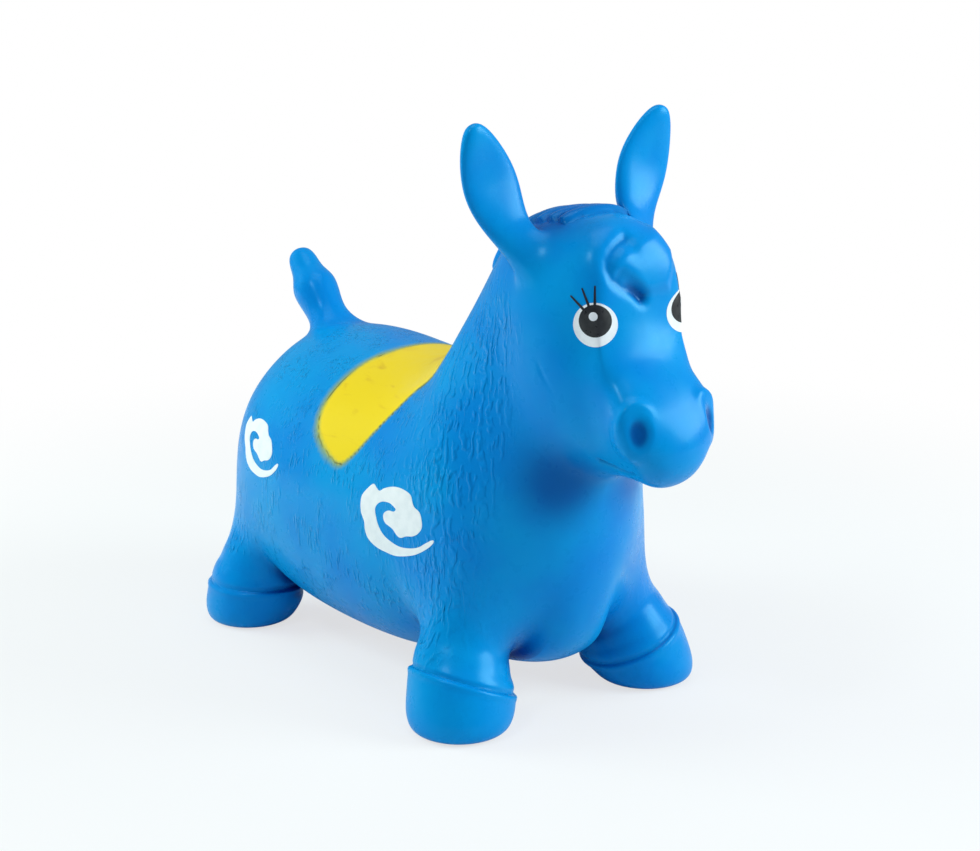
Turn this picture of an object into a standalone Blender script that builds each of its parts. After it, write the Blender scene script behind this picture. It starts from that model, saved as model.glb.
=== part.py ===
"""Inflatable hopping horse with a hollow vinyl skin, moulded ears, legs and tail, and a valve.

The skin is one quad cage: half rings between a back line and a belly line, with legs, ears and a tail
grown from patches of its faces, mirrored, subdivided and given a wall. Metres, +X forward, +Z up.
"""
import math

import bmesh
import bpy
from mathutils import Matrix, Vector

# Trunk
BARREL_LENGTH = 0.450
RUMP_REACH = 0.263
BACK_HEIGHT = 0.280
BARREL_WIDTH = 0.264
RUMP_BULGE = 0.008

# Neck and head
POLL_HEIGHT = BACK_HEIGHT * 1.55
NECK_BACK = 0.038
FACE_LENGTH = 0.330
NECK_WIDTH = 0.200
HEAD_WIDTH = 0.150
NOSE_BULGE = 0.007

# Skin
SKIN_WALL = 0.0025
SEAM_GAP = 0.0007
PAINT_GAP = 0.0003
PAINT_FILM = 0.0004
MERGE_DISTANCE = 0.0001

# Seams where the skin flexes, each a ball about the pivot of its limb
LEG_PIVOT_HEIGHT = 0.042
LEG_SEAM_RADIUS = 0.063
EAR_SEAM_REACH = 0.022
EAR_PIVOT_DROP = 0.014
EAR_SEAM_RADIUS = 0.0265
EAR_STUB_LENGTH = 0.100
EAR_STUB_RADIUS = 0.036
TAIL_SEAM_REACH = 0.017
TAIL_PIVOT_DROP = 0.014
TAIL_SEAM_RADIUS = 0.0235
TAIL_STUB_LENGTH = 0.090
TAIL_STUB_RADIUS = 0.032
STUB_START_SHARE = 0.6
BALL_SEGMENTS = 24
SMALL_BALL_SEGMENTS = 10
STUB_SEGMENTS = 32
TURNED_SEGMENTS = 24

# Straight seams across the trunk, as X and Z of their upper and lower ends
NECK_SEAM_TOP = (0.017, 0.300)
NECK_SEAM_BOTTOM = (0.185, 0.160)
HEAD_SEAM_TOP = (0.099, 0.408)
HEAD_SEAM_BOTTOM = (0.190, 0.205)
SEAM_OVERRUN = 0.030
CUT_REACH = BARREL_LENGTH + FACE_LENGTH

# Forelock and mane locks raised from the skin, nostrils and mouth sunk into it
RELIEF_HEIGHT = 0.0022
RELIEF_DEPTH = 0.0012
FORELOCK_X = 0.212
FORELOCK_HEIGHT = POLL_HEIGHT * 0.903
FORELOCK_WIDTH = 0.052
FORELOCK_DROP = 0.046
# Outline of the forelock from its upper right corner round to its tip, in widths and drops from the middle
FORELOCK_SHARES = (
    (-0.50, 0.26), (-0.42, 0.42), (-0.20, 0.52), (0.10, 0.54), (0.38, 0.46),
    (0.50, 0.24), (0.48, -0.02), (0.34, -0.24), (0.14, -0.42), (-0.08, -0.48),
    (-0.02, -0.34), (-0.06, -0.22), (-0.22, -0.10), (-0.40, 0.06),
)
MANE_START_X = 0.116
MANE_END_X = 0.172
MANE_LOCKS = 5
MANE_LOCK_RADIUS = 0.0105
MANE_SINK_SHARE = 0.72
MANE_STRETCH = 1.5
NOSTRIL_X = 0.2735
NOSTRIL_Y = HEAD_WIDTH * 0.251
NOSTRIL_HEIGHT = POLL_HEIGHT * 0.638
NOSTRIL_RADIUS = 0.0070
MOUTH_X = 0.221
MOUTH_LENGTH = 0.040
MOUTH_HEIGHT = POLL_HEIGHT * 0.555
MOUTH_DROP = 0.005
MOUTH_GROOVE = 0.0022
MOUTH_STEPS = 6

# Saddle paint: X and Z of its outline, seen from the side
SADDLE_REAR = -0.081
SADDLE_FRONT = 0.027
SADDLE_HEIGHT = BACK_HEIGHT * 0.679
SADDLE_SHARES = (
    (0.10, 1.60), (0.11, 1.00), (0.02, 0.62), (0.00, 0.42), (0.05, 0.22), (0.14, 0.10), (0.24, 0.03),
    (0.35, 0.00), (0.46, 0.04), (0.58, 0.14), (0.70, 0.34), (0.84, 0.62), (0.95, 0.88), (1.00, 1.60),
)

# Cloud scroll prints on flank and haunch: middle, width and height of each
FLANK_PRINT = (0.0505, 0.1630, 0.089, 0.059)
HAUNCH_PRINT = (-0.1540, 0.1775, 0.080, 0.051)
PRINT_SIDE_START = 0.060
CLOUD_SHARES = (
    (0.02, 0.86), (0.10, 0.84), (0.16, 0.86), (0.30, 0.98), (0.46, 1.00), (0.58, 0.95), (0.63, 0.86),
    (0.74, 0.83), (0.77, 0.73), (0.86, 0.66), (0.86, 0.54), (0.78, 0.49), (0.72, 0.40), (0.62, 0.40),
    (0.50, 0.42), (0.44, 0.50), (0.44, 0.60), (0.52, 0.68), (0.43, 0.75), (0.32, 0.74), (0.24, 0.66),
    (0.22, 0.52), (0.28, 0.36), (0.44, 0.22), (0.66, 0.19), (0.82, 0.24), (1.00, 0.35), (0.86, 0.12),
    (0.70, 0.02), (0.54, 0.00), (0.36, 0.05), (0.22, 0.17), (0.13, 0.29), (0.06, 0.36), (0.04, 0.50),
    (0.00, 0.62), (0.00, 0.76),
)

# Eyes
EYE_X = 0.2286
EYE_Y = HEAD_WIDTH * 0.303
EYE_HEIGHT = POLL_HEIGHT * 0.818
EYE_YAW = 43
EYE_PITCH = 10
EYE_WHITE_RADIUS = 0.0182
PUPIL_RADIUS = 0.0120
PUPIL_RISE = 0.0030
GLINT_RADIUS = 0.0034
GLINT_FORWARD = 0.0005
GLINT_RISE = 0.0035
EYE_STEPS = 20
GLINT_STEPS = 12
LASH_LENGTH = 0.0120
LASH_WIDTH = 0.0030
LASH_START = 0.0138
LASH_ANGLES = (38, 62, 84)
LASH_WAIST_SHARE = 0.8
PRISM_REACH = 0.020
HOLE_REACH = PRISM_REACH * 1.3

# Colours of the coats
WHITE = (0.82, 0.83, 0.84)
BLACK = (0.012, 0.012, 0.014)
YELLOW = (0.87, 0.70, 0.02)
EYE_ROUGHNESS = 0.3
LASH_ROUGHNESS = 0.4
PRINT_ROUGHNESS = 0.4
SADDLE_ROUGHNESS = 0.45

# Valve at the back of the rump
VALVE_HEIGHT = 0.165
VALVE_RADIUS = 0.0090
VALVE_BORE = 0.0050
VALVE_LENGTH = 0.0070
VALVE_PROUD = 0.0010
FIT_GAP = 0.0003
PLUG_HEAD_RADIUS = 0.0075
PLUG_HEAD = 0.0018
PLUG_STEM = 0.0110
PLUG_TIP_SHARE = 0.7
EDGE_ROUND = 0.0004
SHARP_ANGLE = 35

# Rings of the barrel: top x and z, bottom x and z, half width. X in barrel lengths from the rump, Z in back
# heights from the floor, width in half barrel widths.
BARREL_RING_SHARES = (
    (0.013, 0.750, 0.012, 0.480, 0.37),
    (0.052, 0.868, 0.024, 0.290, 0.64),
    (0.094, 0.936, 0.065, 0.170, 0.82),
    (0.162, 0.974, 0.150, 0.110, 0.95),
    (0.240, 0.986, 0.240, 0.075, 1.00),
    (0.370, 0.976, 0.400, 0.056, 1.01),
    (0.530, 0.980, 0.630, 0.062, 0.94),
)
# Rings of the neck and head, in the same order. X in face lengths from the back of the neck, Z in poll
# heights from the floor, width in half neck widths for the neck and half head widths for the head.
NECK_RING_SHARES = (
    (0.142, 0.666, 0.290, 0.054, 1.18),
    (0.210, 0.712, 0.500, 0.072, 1.12),
    (0.254, 0.777, 0.605, 0.125, 1.03),
    (0.300, 0.842, 0.655, 0.255, 0.86),
    (0.346, 0.902, 0.672, 0.370, 0.75),
)
HEAD_RING_SHARES = (
    (0.422, 0.945, 0.680, 0.450, 0.91),
    (0.498, 0.978, 0.700, 0.490, 0.92),
    (0.580, 0.998, 0.730, 0.505, 0.89),
    (0.665, 1.002, 0.770, 0.510, 0.81),
    (0.752, 0.988, 0.810, 0.512, 0.69),
    (0.808, 0.925, 0.845, 0.513, 0.59),
    (0.796, 0.835, 0.880, 0.515, 0.47),
    (0.826, 0.755, 0.915, 0.515, 0.55),
    (0.895, 0.716, 0.950, 0.530, 0.67),
    (0.945, 0.672, 0.975, 0.557, 0.50),
)
# Angles down the half ring, from the back line to the belly line
RING_ANGLES = (0, 26, 52, 78, 103, 124, 143, 161, 180)
BARREL_FULLNESS_SHARE = 0.75
BROW_FULLNESS_SHARE = 0.70

# Legs: X and Y of the foot's middle, radius of the sole, and how far the root lies inward of the foot
FRONT_FOOT = (0.124, 0.099, 0.044, 0.026)
REAR_FOOT = (-0.203, 0.108, 0.042, 0.014)
LEG_RISE = 0.072
LEG_TOE_ANGLE = 30
# Rings of a leg from the root down: height in leg rises, radius in sole radii, share of the inward lean,
# and how much higher the outer side lies, in sole radii
LEG_RING_SHARES = (
    (0.92, 0.80, 0.90, 0.48),
    (0.73, 0.90, 0.68, 0.44),
    (0.60, 0.93, 0.52, 0.38),
    (0.52, 1.04, 0.42, 0.36),
    (0.15, 1.07, 0.05, 0.04),
    (0.02, 0.95, 0.00, 0.00),
    (0.00, 0.72, 0.00, 0.00),
)
# Rings that the inside of the skin does without, by their places on legs, ears and tail
INNER_LEG_SKIPS = (0.52,)
INNER_EAR_SKIPS = (0.52, 0.87)
INNER_TAIL_SKIPS = (0.52,)
REAR_LEG_ROW = 1
FRONT_LEG_ROW = 7
LEG_COLUMN = 4

# Ears
EAR_ROOT_X = 0.143
EAR_ROOT_Y = HEAD_WIDTH * 0.387
EAR_ROOT_HEIGHT = POLL_HEIGHT * 0.933
EAR_SWEEP = 0.006
EAR_SPLAY = 0.037
EAR_RISE = 0.096
EAR_WIDTH = 0.055
EAR_DEPTH = 0.024
EAR_TURN = 0
EAR_BOW = 0.004
EAR_FOOT_SHARE = 0.5
EAR_ROW = 13
EAR_COLUMN = 1
# Rings of an ear: place along it, half width and half depth in shares, dish of the front in half depths
EAR_RING_SHARES = (
    (0.12, 0.77, 0.98, 0.0),
    (0.34, 1.00, 1.00, 0.5),
    (0.52, 1.03, 1.05, 0.7),
    (0.70, 0.86, 0.98, 0.6),
    (0.87, 0.58, 0.80, 0.3),
    (0.97, 0.28, 0.50, 0.0),
)

# Tail
TAIL_ROOT_X = -0.224
TAIL_ROOT_HEIGHT = BACK_HEIGHT * 0.936
TAIL_REACH = 0.059
TAIL_RISE = 0.062
TAIL_RADIUS = 0.022
TAIL_ROW = 1
TAIL_FOOT_SHARE = 0.6
# Rings of the tail: place along it and radius in shares
TAIL_RING_SHARES = (
    (0.08, 0.85),
    (0.32, 1.00),
    (0.52, 1.12),
    (0.68, 0.72),
    (0.86, 0.70),
    (0.97, 0.45),
)


def clear_scene():
    for thing in list(bpy.data.objects):
        bpy.data.objects.remove(thing, do_unlink=True)


def half_ring(top, bottom, half_width, brow, fullness):
    """Points from the back line over the left side to the belly line.

    A low brow makes the upper half squarer, and a low fullness the lower half.
    """
    middle = (top + bottom) / 2
    half = (top - bottom) / 2
    points = []
    for angle in RING_ANGLES:
        turn = math.radians(angle)
        rise, side = math.cos(turn), abs(math.sin(turn))
        power = fullness if angle > 90 else brow
        rise, side = math.copysign(abs(rise) ** power, rise), side ** power
        if angle in (0, 180):
            side = 0
        points.append(middle + half * rise + Vector((0, half_width * side, 0)))
    return points


def trunk_rings():
    rings = []
    for top_x, top_z, low_x, low_z, width in BARREL_RING_SHARES:
        top = Vector((top_x * BARREL_LENGTH - RUMP_REACH, 0, top_z * BACK_HEIGHT))
        low = Vector((low_x * BARREL_LENGTH - RUMP_REACH, 0, low_z * BACK_HEIGHT))
        rings.append(half_ring(top, low, width * BARREL_WIDTH / 2, 1, BARREL_FULLNESS_SHARE))
    for shares, full_width, brow in ((NECK_RING_SHARES, NECK_WIDTH, 1),
                                     (HEAD_RING_SHARES, HEAD_WIDTH, BROW_FULLNESS_SHARE)):
        for top_x, top_z, low_x, low_z, width in shares:
            top = Vector((top_x * FACE_LENGTH - NECK_BACK, 0, top_z * POLL_HEIGHT))
            low = Vector((low_x * FACE_LENGTH - NECK_BACK, 0, low_z * POLL_HEIGHT))
            rings.append(half_ring(top, low, width * full_width / 2, brow, 1))
    return rings


def skirt(cage, upper, lower, closed):
    """Quads between two rows of vertices of equal count."""
    count = len(upper)
    for index in range(count if closed else count - 1):
        after = (index + 1) % count
        cage.faces.new((upper[index], upper[after], lower[after], lower[index]))


def half_cap(cage, ring, bulge):
    """Close a half ring of nine vertices with a grid two quads wide and four high."""
    grid = [[ring[0], ring[1], ring[2]], [None, None, ring[3]], [None, None, ring[4]],
            [None, None, ring[5]], [ring[8], ring[7], ring[6]]]
    for row in (1, 2, 3):
        drop = row / 4
        swell = 1 - (2 * drop - 1) ** 2
        for column in (0, 1):
            across = column / 2
            vertical = grid[0][column].co.lerp(grid[4][column].co, drop)
            outer = grid[row][2].co
            middle = Vector((outer.x, 0, outer.z))
            point = middle.lerp(outer, across)
            point = (point + vertical) / 2
            if column == 0:
                point.y = 0
            grid[row][column] = cage.verts.new(point + bulge * swell * (1 - across ** 2))
    for row in range(4):
        for column in range(2):
            cage.faces.new((grid[row][column], grid[row][column + 1],
                            grid[row + 1][column + 1], grid[row + 1][column]))


def leg(cage, rows, first_row, foot, skips):
    """Grow a leg from a patch of three by three faces of the trunk."""
    last_row = first_row + 3
    low_column = LEG_COLUMN + 3
    loop = [rows[first_row + step][LEG_COLUMN] for step in range(3)]
    loop += [rows[last_row][LEG_COLUMN + step] for step in range(3)]
    loop += [rows[last_row - step][low_column] for step in range(3)]
    loop += [rows[first_row][low_column - step] for step in range(3)]
    foot_x, foot_y, sole, full_lean = foot
    toe = math.copysign(math.radians(LEG_TOE_ANGLE), foot_x)
    for height, radius, lean, tilt in LEG_RING_SHARES:
        if height in skips:
            continue
        ring = []
        middle_x = foot_x - math.copysign(lean * full_lean, foot_x)
        middle_y = foot_y - lean * full_lean
        for step in range(12):
            turn = math.radians(135 - 30 * step)
            reach = radius * sole
            rise = height * LEG_RISE + tilt * sole * math.sin(turn - toe)
            point = (middle_x + reach * math.cos(turn), middle_y + reach * math.sin(turn), rise)
            ring.append(cage.verts.new(point))
        skirt(cage, loop, ring, True)
        loop = ring
    corners = (loop[0], loop[3], loop[6], loop[9])
    inner = []
    for corner, other in ((0, 2), (1, 3), (2, 0), (3, 1)):
        inner.append(cage.verts.new(corners[corner].co.lerp(corners[other].co, 1 / 3)))
    for side in range(4):
        start = side * 3
        after = (side + 1) % 4
        cage.faces.new((loop[start], loop[start + 1], inner[side], loop[start - 1]))
        cage.faces.new((loop[start + 1], loop[start + 2], inner[after], inner[side]))
    cage.faces.new(inner)


def ear_frame():
    """Root, tip, long axis, width axis and front direction of the left ear."""
    root = Vector((EAR_ROOT_X, EAR_ROOT_Y, EAR_ROOT_HEIGHT))
    tip = root + Vector((-EAR_SWEEP, EAR_SPLAY, EAR_RISE))
    axis = (tip - root).normalized()
    turn = math.radians(EAR_TURN)
    outward = Vector((-math.sin(turn), math.cos(turn), 0))
    outward = (outward - axis * outward.dot(axis)).normalized()
    return root, tip, axis, outward, outward.cross(axis)


def ear(cage, rows, skips):
    """Grow a leaf-shaped ear from a patch of two by two faces of the head."""
    first, last = EAR_ROW, EAR_ROW + 2
    low = EAR_COLUMN + 2
    loop = [rows[first][EAR_COLUMN], rows[first + 1][EAR_COLUMN], rows[last][EAR_COLUMN],
            rows[last][EAR_COLUMN + 1], rows[last][low], rows[first + 1][low],
            rows[first][low], rows[first][EAR_COLUMN + 1]]
    centre = rows[first + 1][EAR_COLUMN + 1].co.copy()
    cage.verts.remove(rows[first + 1][EAR_COLUMN + 1])
    ring = [cage.verts.new(centre.lerp(vertex.co, EAR_FOOT_SHARE)) for vertex in loop]
    skirt(cage, loop, ring, True)
    loop = ring
    root, tip, axis, outward, forward = ear_frame()
    for place, width, depth, dish in EAR_RING_SHARES:
        if place in skips:
            continue
        middle = root.lerp(tip, place)
        middle.x -= EAR_BOW * math.sin(math.pi * place)
        ring = []
        for step in range(8):
            angle = math.radians(45 * step - 135)
            front = math.cos(angle) * depth
            if front > 0:
                front *= 1 - dish * abs(math.cos(angle))
            point = middle + forward * front * EAR_DEPTH / 2
            ring.append(cage.verts.new(point + outward * math.sin(angle) * width * EAR_WIDTH / 2))
        skirt(cage, loop, ring, True)
        loop = ring
    end = cage.verts.new(tip)
    for start in (0, 2, 4, 6):
        cage.faces.new((loop[start - 1], loop[start], loop[start + 1], end))


def tail_frame():
    root = Vector((TAIL_ROOT_X, 0, TAIL_ROOT_HEIGHT))
    tip = root + Vector((-TAIL_REACH, 0, TAIL_RISE))
    return root, tip, (tip - root).normalized()


def tail(cage, rows, skips):
    """Grow the tail from two faces on each side of the back line."""
    first = TAIL_ROW
    loop = [rows[first][0], rows[first][1], rows[first + 1][1], rows[first + 2][1], rows[first + 2][0]]
    centre = rows[first + 1][0].co.copy()
    cage.verts.remove(rows[first + 1][0])
    ring = [cage.verts.new(centre.lerp(vertex.co, TAIL_FOOT_SHARE)) for vertex in loop]
    skirt(cage, loop, ring, False)
    loop = ring
    root, tip, axis = tail_frame()
    forward = Vector((0, 1, 0)).cross(axis)
    for place, radius in TAIL_RING_SHARES:
        if place in skips:
            continue
        ring = []
        for step in range(5):
            angle = math.radians(180 - 45 * step)
            reach = radius * TAIL_RADIUS
            side = 0 if step in (0, 4) else reach * math.sin(angle)
            point = root.lerp(tip, place) + forward * reach * math.cos(angle)
            ring.append(cage.verts.new(point + Vector((0, side, 0))))
        skirt(cage, loop, ring, False)
        loop = ring
    end = cage.verts.new(tip)
    cage.faces.new((loop[0], loop[1], loop[2], end))
    cage.faces.new((loop[2], loop[3], loop[4], end))


def skin_cage(name, inside):
    """Half of the quad cage, open in the mirror plane, with fewer rings for the inside of the skin."""
    cage = bmesh.new()
    rows = [[cage.verts.new(point) for point in ring] for ring in trunk_rings()]
    skipped = set()
    for first_row in (REAR_LEG_ROW, FRONT_LEG_ROW):
        skipped |= {(first_row + i, LEG_COLUMN + j) for i in range(3) for j in range(3)}
    skipped |= {(EAR_ROW + i, EAR_COLUMN + j) for i in range(2) for j in range(2)}
    skipped |= {(TAIL_ROW + i, 0) for i in range(2)}
    for row in range(len(rows) - 1):
        for column in range(8):
            if (row, column) not in skipped:
                skirt(cage, rows[row][column:column + 2], rows[row + 1][column:column + 2], False)
    half_cap(cage, rows[0], Vector((-RUMP_BULGE, 0, 0)))
    half_cap(cage, rows[-1], Vector((NOSE_BULGE, 0, 0)))
    leg(cage, rows, REAR_LEG_ROW, REAR_FOOT, INNER_LEG_SKIPS if inside else ())
    leg(cage, rows, FRONT_LEG_ROW, FRONT_FOOT, INNER_LEG_SKIPS if inside else ())
    ear(cage, rows, INNER_EAR_SKIPS if inside else ())
    tail(cage, rows, INNER_TAIL_SKIPS if inside else ())
    loose = [vertex for vertex in cage.verts if not vertex.link_faces]
    bmesh.ops.delete(cage, geom=loose, context="VERTS")
    bmesh.ops.recalc_face_normals(cage, faces=cage.faces)
    mesh = bpy.data.meshes.new(name)
    cage.to_mesh(mesh)
    cage.free()
    return mesh


def node(name, mesh, place, material):
    thing = bpy.data.objects.new(name, mesh)
    thing.location = place
    bpy.context.scene.collection.objects.link(thing)
    if material:
        mesh.materials.append(material)
    return thing


def guide(name, mesh, place):
    """A cutter or form that shapes others and is no piece itself."""
    thing = node(name, mesh, place, None)
    thing.hide_render = True
    thing.display_type = "WIRE"
    return thing


def boolean(thing, operation, other):
    cut = thing.modifiers.new(operation.title(), "BOOLEAN")
    cut.operation = operation
    cut.solver = "EXACT"
    cut.object = other


def skin_form(name, inside, offset):
    """The whole closed skin surface, moved along its normals by the offset."""
    form = guide(name, skin_cage(name, inside), (0, 0, 0))
    mirror = form.modifiers.new("Mirror", "MIRROR")
    mirror.use_axis = (False, True, False)
    mirror.merge_threshold = MERGE_DISTANCE
    smooth = form.modifiers.new("Subdivision", "SUBSURF")
    smooth.levels = 1
    smooth.render_levels = 1
    form.data.shade_smooth()
    if offset:
        move = form.modifiers.new("Offset", "DISPLACE")
        move.strength = offset
        move.mid_level = 0
    return form


def mesh_of(name, build):
    """A mesh that a function fills, with its faces pointing out."""
    shape = bmesh.new()
    build(shape)
    bmesh.ops.recalc_face_normals(shape, faces=shape.faces)
    mesh = bpy.data.meshes.new(name)
    shape.to_mesh(mesh)
    shape.free()
    return mesh


def loft(shape, rings, closed):
    """Join rings of points, and close the ends with a face each or the last ring to the first."""
    rows = [[shape.verts.new(point) for point in ring] for ring in rings]
    for upper, lower in zip(rows, rows[1:]):
        skirt(shape, upper, lower, True)
    if closed:
        skirt(shape, rows[-1], rows[0], True)
    else:
        shape.faces.new(rows[0])
        shape.faces.new(rows[-1])


def ball_mesh(name, radius, segments):
    return mesh_of(name, lambda shape: bmesh.ops.create_uvsphere(
        shape, u_segments=segments, v_segments=segments // 2, radius=radius))


def slab_mesh(name, outline, half_width):
    """An outline of X and Z places, extruded to both sides."""
    sides = [[Vector((x, side * half_width, z)) for x, z in outline] for side in (-1, 1)]
    return mesh_of(name, lambda shape: loft(shape, sides, False))


def stub_mesh(name, axis, start, length, radius):
    """A cylinder along an axis through the origin, from start on."""
    side = axis.orthogonal().normalized()
    other = axis.cross(side)
    rings = []
    for reach in (start, start + length):
        ring = []
        for step in range(STUB_SEGMENTS):
            turn = 2 * math.pi * step / STUB_SEGMENTS
            ring.append(axis * reach + (side * math.cos(turn) + other * math.sin(turn)) * radius)
        rings.append(ring)
    return mesh_of(name, lambda shape: loft(shape, rings, False))


def turned_mesh(name, profile, closed):
    """A profile of radius and height pairs, turned about Z."""
    rings = []
    for radius, height in profile:
        turns = [2 * math.pi * step / TURNED_SEGMENTS for step in range(TURNED_SEGMENTS)]
        ring = [Vector((radius * math.cos(turn), radius * math.sin(turn), height)) for turn in turns]
        rings.append(ring)
    return mesh_of(name, lambda shape: loft(shape, rings, closed))


def coloured(name, colour, roughness):
    material = bpy.data.materials.new(name)
    material.use_nodes = True
    shader = material.node_tree.nodes["Principled BSDF"]
    shader.inputs["Base Color"].default_value = (*colour, 1)
    shader.inputs["Roughness"].default_value = roughness
    shader.inputs["Metallic"].default_value = 0
    return material


def vinyl(name):
    return coloured(name, (0.0, 0.22, 0.68), 0.35)


def mirrored(point, side):
    return Vector((point[0], point[1] * side, point[2]))


def seam_line(top, bottom, shift):
    """Lower and upper end of a seam across the trunk, run on past the skin and moved forward."""
    start, end = Vector((top[0], 0, top[1])), Vector((bottom[0], 0, bottom[1]))
    along = (end - start).normalized()
    forward = Vector((-along.z, 0, along.x))
    low = end + along * SEAM_OVERRUN + forward * shift
    high = start - along * SEAM_OVERRUN + forward * shift
    return [(low.x, low.z), (high.x, high.z)]


def limb_parts(forms):
    """Legs, ears and tail, each cut at a ball about its own pivot, and the cutters for their sockets."""
    sockets = {"torso": [], "head": []}
    ball = ball_mesh("leg_ball", LEG_SEAM_RADIUS, BALL_SEGMENTS)
    socket_ball = ball_mesh("leg_socket_ball", LEG_SEAM_RADIUS + SEAM_GAP, BALL_SEGMENTS)
    for end, (foot_x, foot_y, *_) in (("front", FRONT_FOOT), ("rear", REAR_FOOT)):
        for hand, side in (("left", 1), ("right", -1)):
            name = f"leg_{end}_{hand}"
            place = (foot_x, side * foot_y, LEG_PIVOT_HEIGHT)
            piece = node(name, ball.copy(), place, vinyl(name))
            boolean(piece, "INTERSECT", forms["outer"])
            boolean(piece, "DIFFERENCE", forms["inner"])
            sockets["torso"].append(guide(name + "_socket", socket_ball, place))
    root, tip, axis, outward, forward = ear_frame()
    pivot = root + axis * (EAR_SEAM_REACH - EAR_PIVOT_DROP)
    for hand, side in (("left", 1), ("right", -1)):
        name = f"ear_{hand}"
        stub = (mirrored(axis, side), EAR_PIVOT_DROP * STUB_START_SHARE, EAR_STUB_LENGTH, EAR_STUB_RADIUS)
        grow_stub(name, mirrored(pivot, side), stub, EAR_SEAM_RADIUS, forms, sockets["head"])
    root, tip, axis = tail_frame()
    pivot = root + axis * (TAIL_SEAM_REACH - TAIL_PIVOT_DROP)
    stub = (axis, TAIL_PIVOT_DROP * STUB_START_SHARE, TAIL_STUB_LENGTH, TAIL_STUB_RADIUS)
    grow_stub("tail", pivot, stub, TAIL_SEAM_RADIUS, forms, sockets["torso"])
    return sockets


def grow_stub(name, pivot, stub, radius, forms, sockets):
    """An ear or tail: what of the skin lies past the seam ball, along the stub."""
    piece = node(name, stub_mesh(name, *stub), pivot, vinyl(name))
    ball = ball_mesh(name + "_ball", radius + SEAM_GAP, BALL_SEGMENTS)
    boolean(piece, "DIFFERENCE", guide(name + "_ball", ball, pivot))
    boolean(piece, "INTERSECT", forms["outer"])
    boolean(piece, "DIFFERENCE", forms["inner"])
    socket = guide(name + "_socket", stub_mesh(name + "_socket", *stub), pivot)
    ball = ball_mesh(name + "_seat_ball", radius, BALL_SEGMENTS)
    boolean(socket, "DIFFERENCE", guide(name + "_seat_ball", ball, pivot))
    sockets.append(socket)


def trunk_parts(forms):
    """Torso, neck and head, cut at two straight seams."""
    half = SEAM_GAP / 2
    torso = seam_line(NECK_SEAM_TOP, NECK_SEAM_BOTTOM, -half)
    torso += [(-CUT_REACH, CUT_REACH), (-CUT_REACH, -CUT_REACH), (CUT_REACH, -CUT_REACH)]
    neck = seam_line(NECK_SEAM_TOP, NECK_SEAM_BOTTOM, half)
    neck += reversed(seam_line(HEAD_SEAM_TOP, HEAD_SEAM_BOTTOM, -half))
    head = seam_line(HEAD_SEAM_TOP, HEAD_SEAM_BOTTOM, half)
    head += [(head[1][0], CUT_REACH), (CUT_REACH, CUT_REACH), (CUT_REACH, head[0][1])]
    pieces = {}
    for name, outline in (("torso_skin", torso), ("neck_skin", neck), ("head_skin", head)):
        piece = node(name, slab_mesh(name, outline, CUT_REACH), (0, 0, 0), vinyl(name))
        boolean(piece, "INTERSECT", forms["outer"])
        pieces[name] = piece
    return pieces


def smooth_outline(points, steps):
    """A closed curve through the points."""
    count = len(points)
    outline = []
    for index in range(count):
        before, start, end, after = (Vector(points[(index + shift) % count]) for shift in (-1, 0, 1, 2))
        for step in range(steps):
            part = step / steps
            leaving = (end - before) / 2 * part * (1 - part) ** 2
            arriving = (after - start) / 2 * part ** 2 * (1 - part)
            outline.append(start.lerp(end, part ** 2 * (3 - 2 * part)) + leaving - arriving)
    return outline


def circle(radius, steps, middle):
    turns = [2 * math.pi * step / steps for step in range(steps)]
    return [Vector(middle) + Vector((math.cos(turn), math.sin(turn))) * radius for turn in turns]


def prism_mesh(name, outline, place, across, up, start, end):
    """An outline in the plane of two directions, drawn out along their cross product."""
    normal = across.cross(up)
    rings = []
    for reach in (start, end):
        rings.append([place + across * point[0] + up * point[1] + normal * reach for point in outline])
    return mesh_of(name, lambda shape: loft(shape, rings, False))


def film(name, mesh, forms, colour, roughness, holes=()):
    """A thin coat of paint over the part of the skin that a prism meets, less the holes."""
    piece = node(name, mesh, (0, 0, 0), coloured(name, colour, roughness))
    for number, hole in enumerate(holes, 1):
        boolean(piece, "DIFFERENCE", guide(f"{name}_hole_{number}", hole, (0, 0, 0)))
    boolean(piece, "INTERSECT", forms["paint"])
    boolean(piece, "DIFFERENCE", forms["seat"])
    return piece


def lash_outlines(angle):
    """A lash standing up from the pupil, and the wider notch that the white leaves for it."""
    turn = math.radians(angle)
    along = Vector((math.cos(turn), math.sin(turn)))
    across = Vector((-along.y, along.x))
    side = across * LASH_WIDTH / 2
    start = along * LASH_START + Vector((0, PUPIL_RISE))
    end = start + along * LASH_LENGTH
    waist = (start + end) / 2
    taper = side * LASH_WAIST_SHARE
    lash = [start - side, start + side, waist + taper, end, waist - taper]
    edge = side + across * PAINT_GAP
    foot = start - along * PAINT_GAP
    return lash, [foot - edge, foot + edge, end + edge, end - edge]


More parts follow.
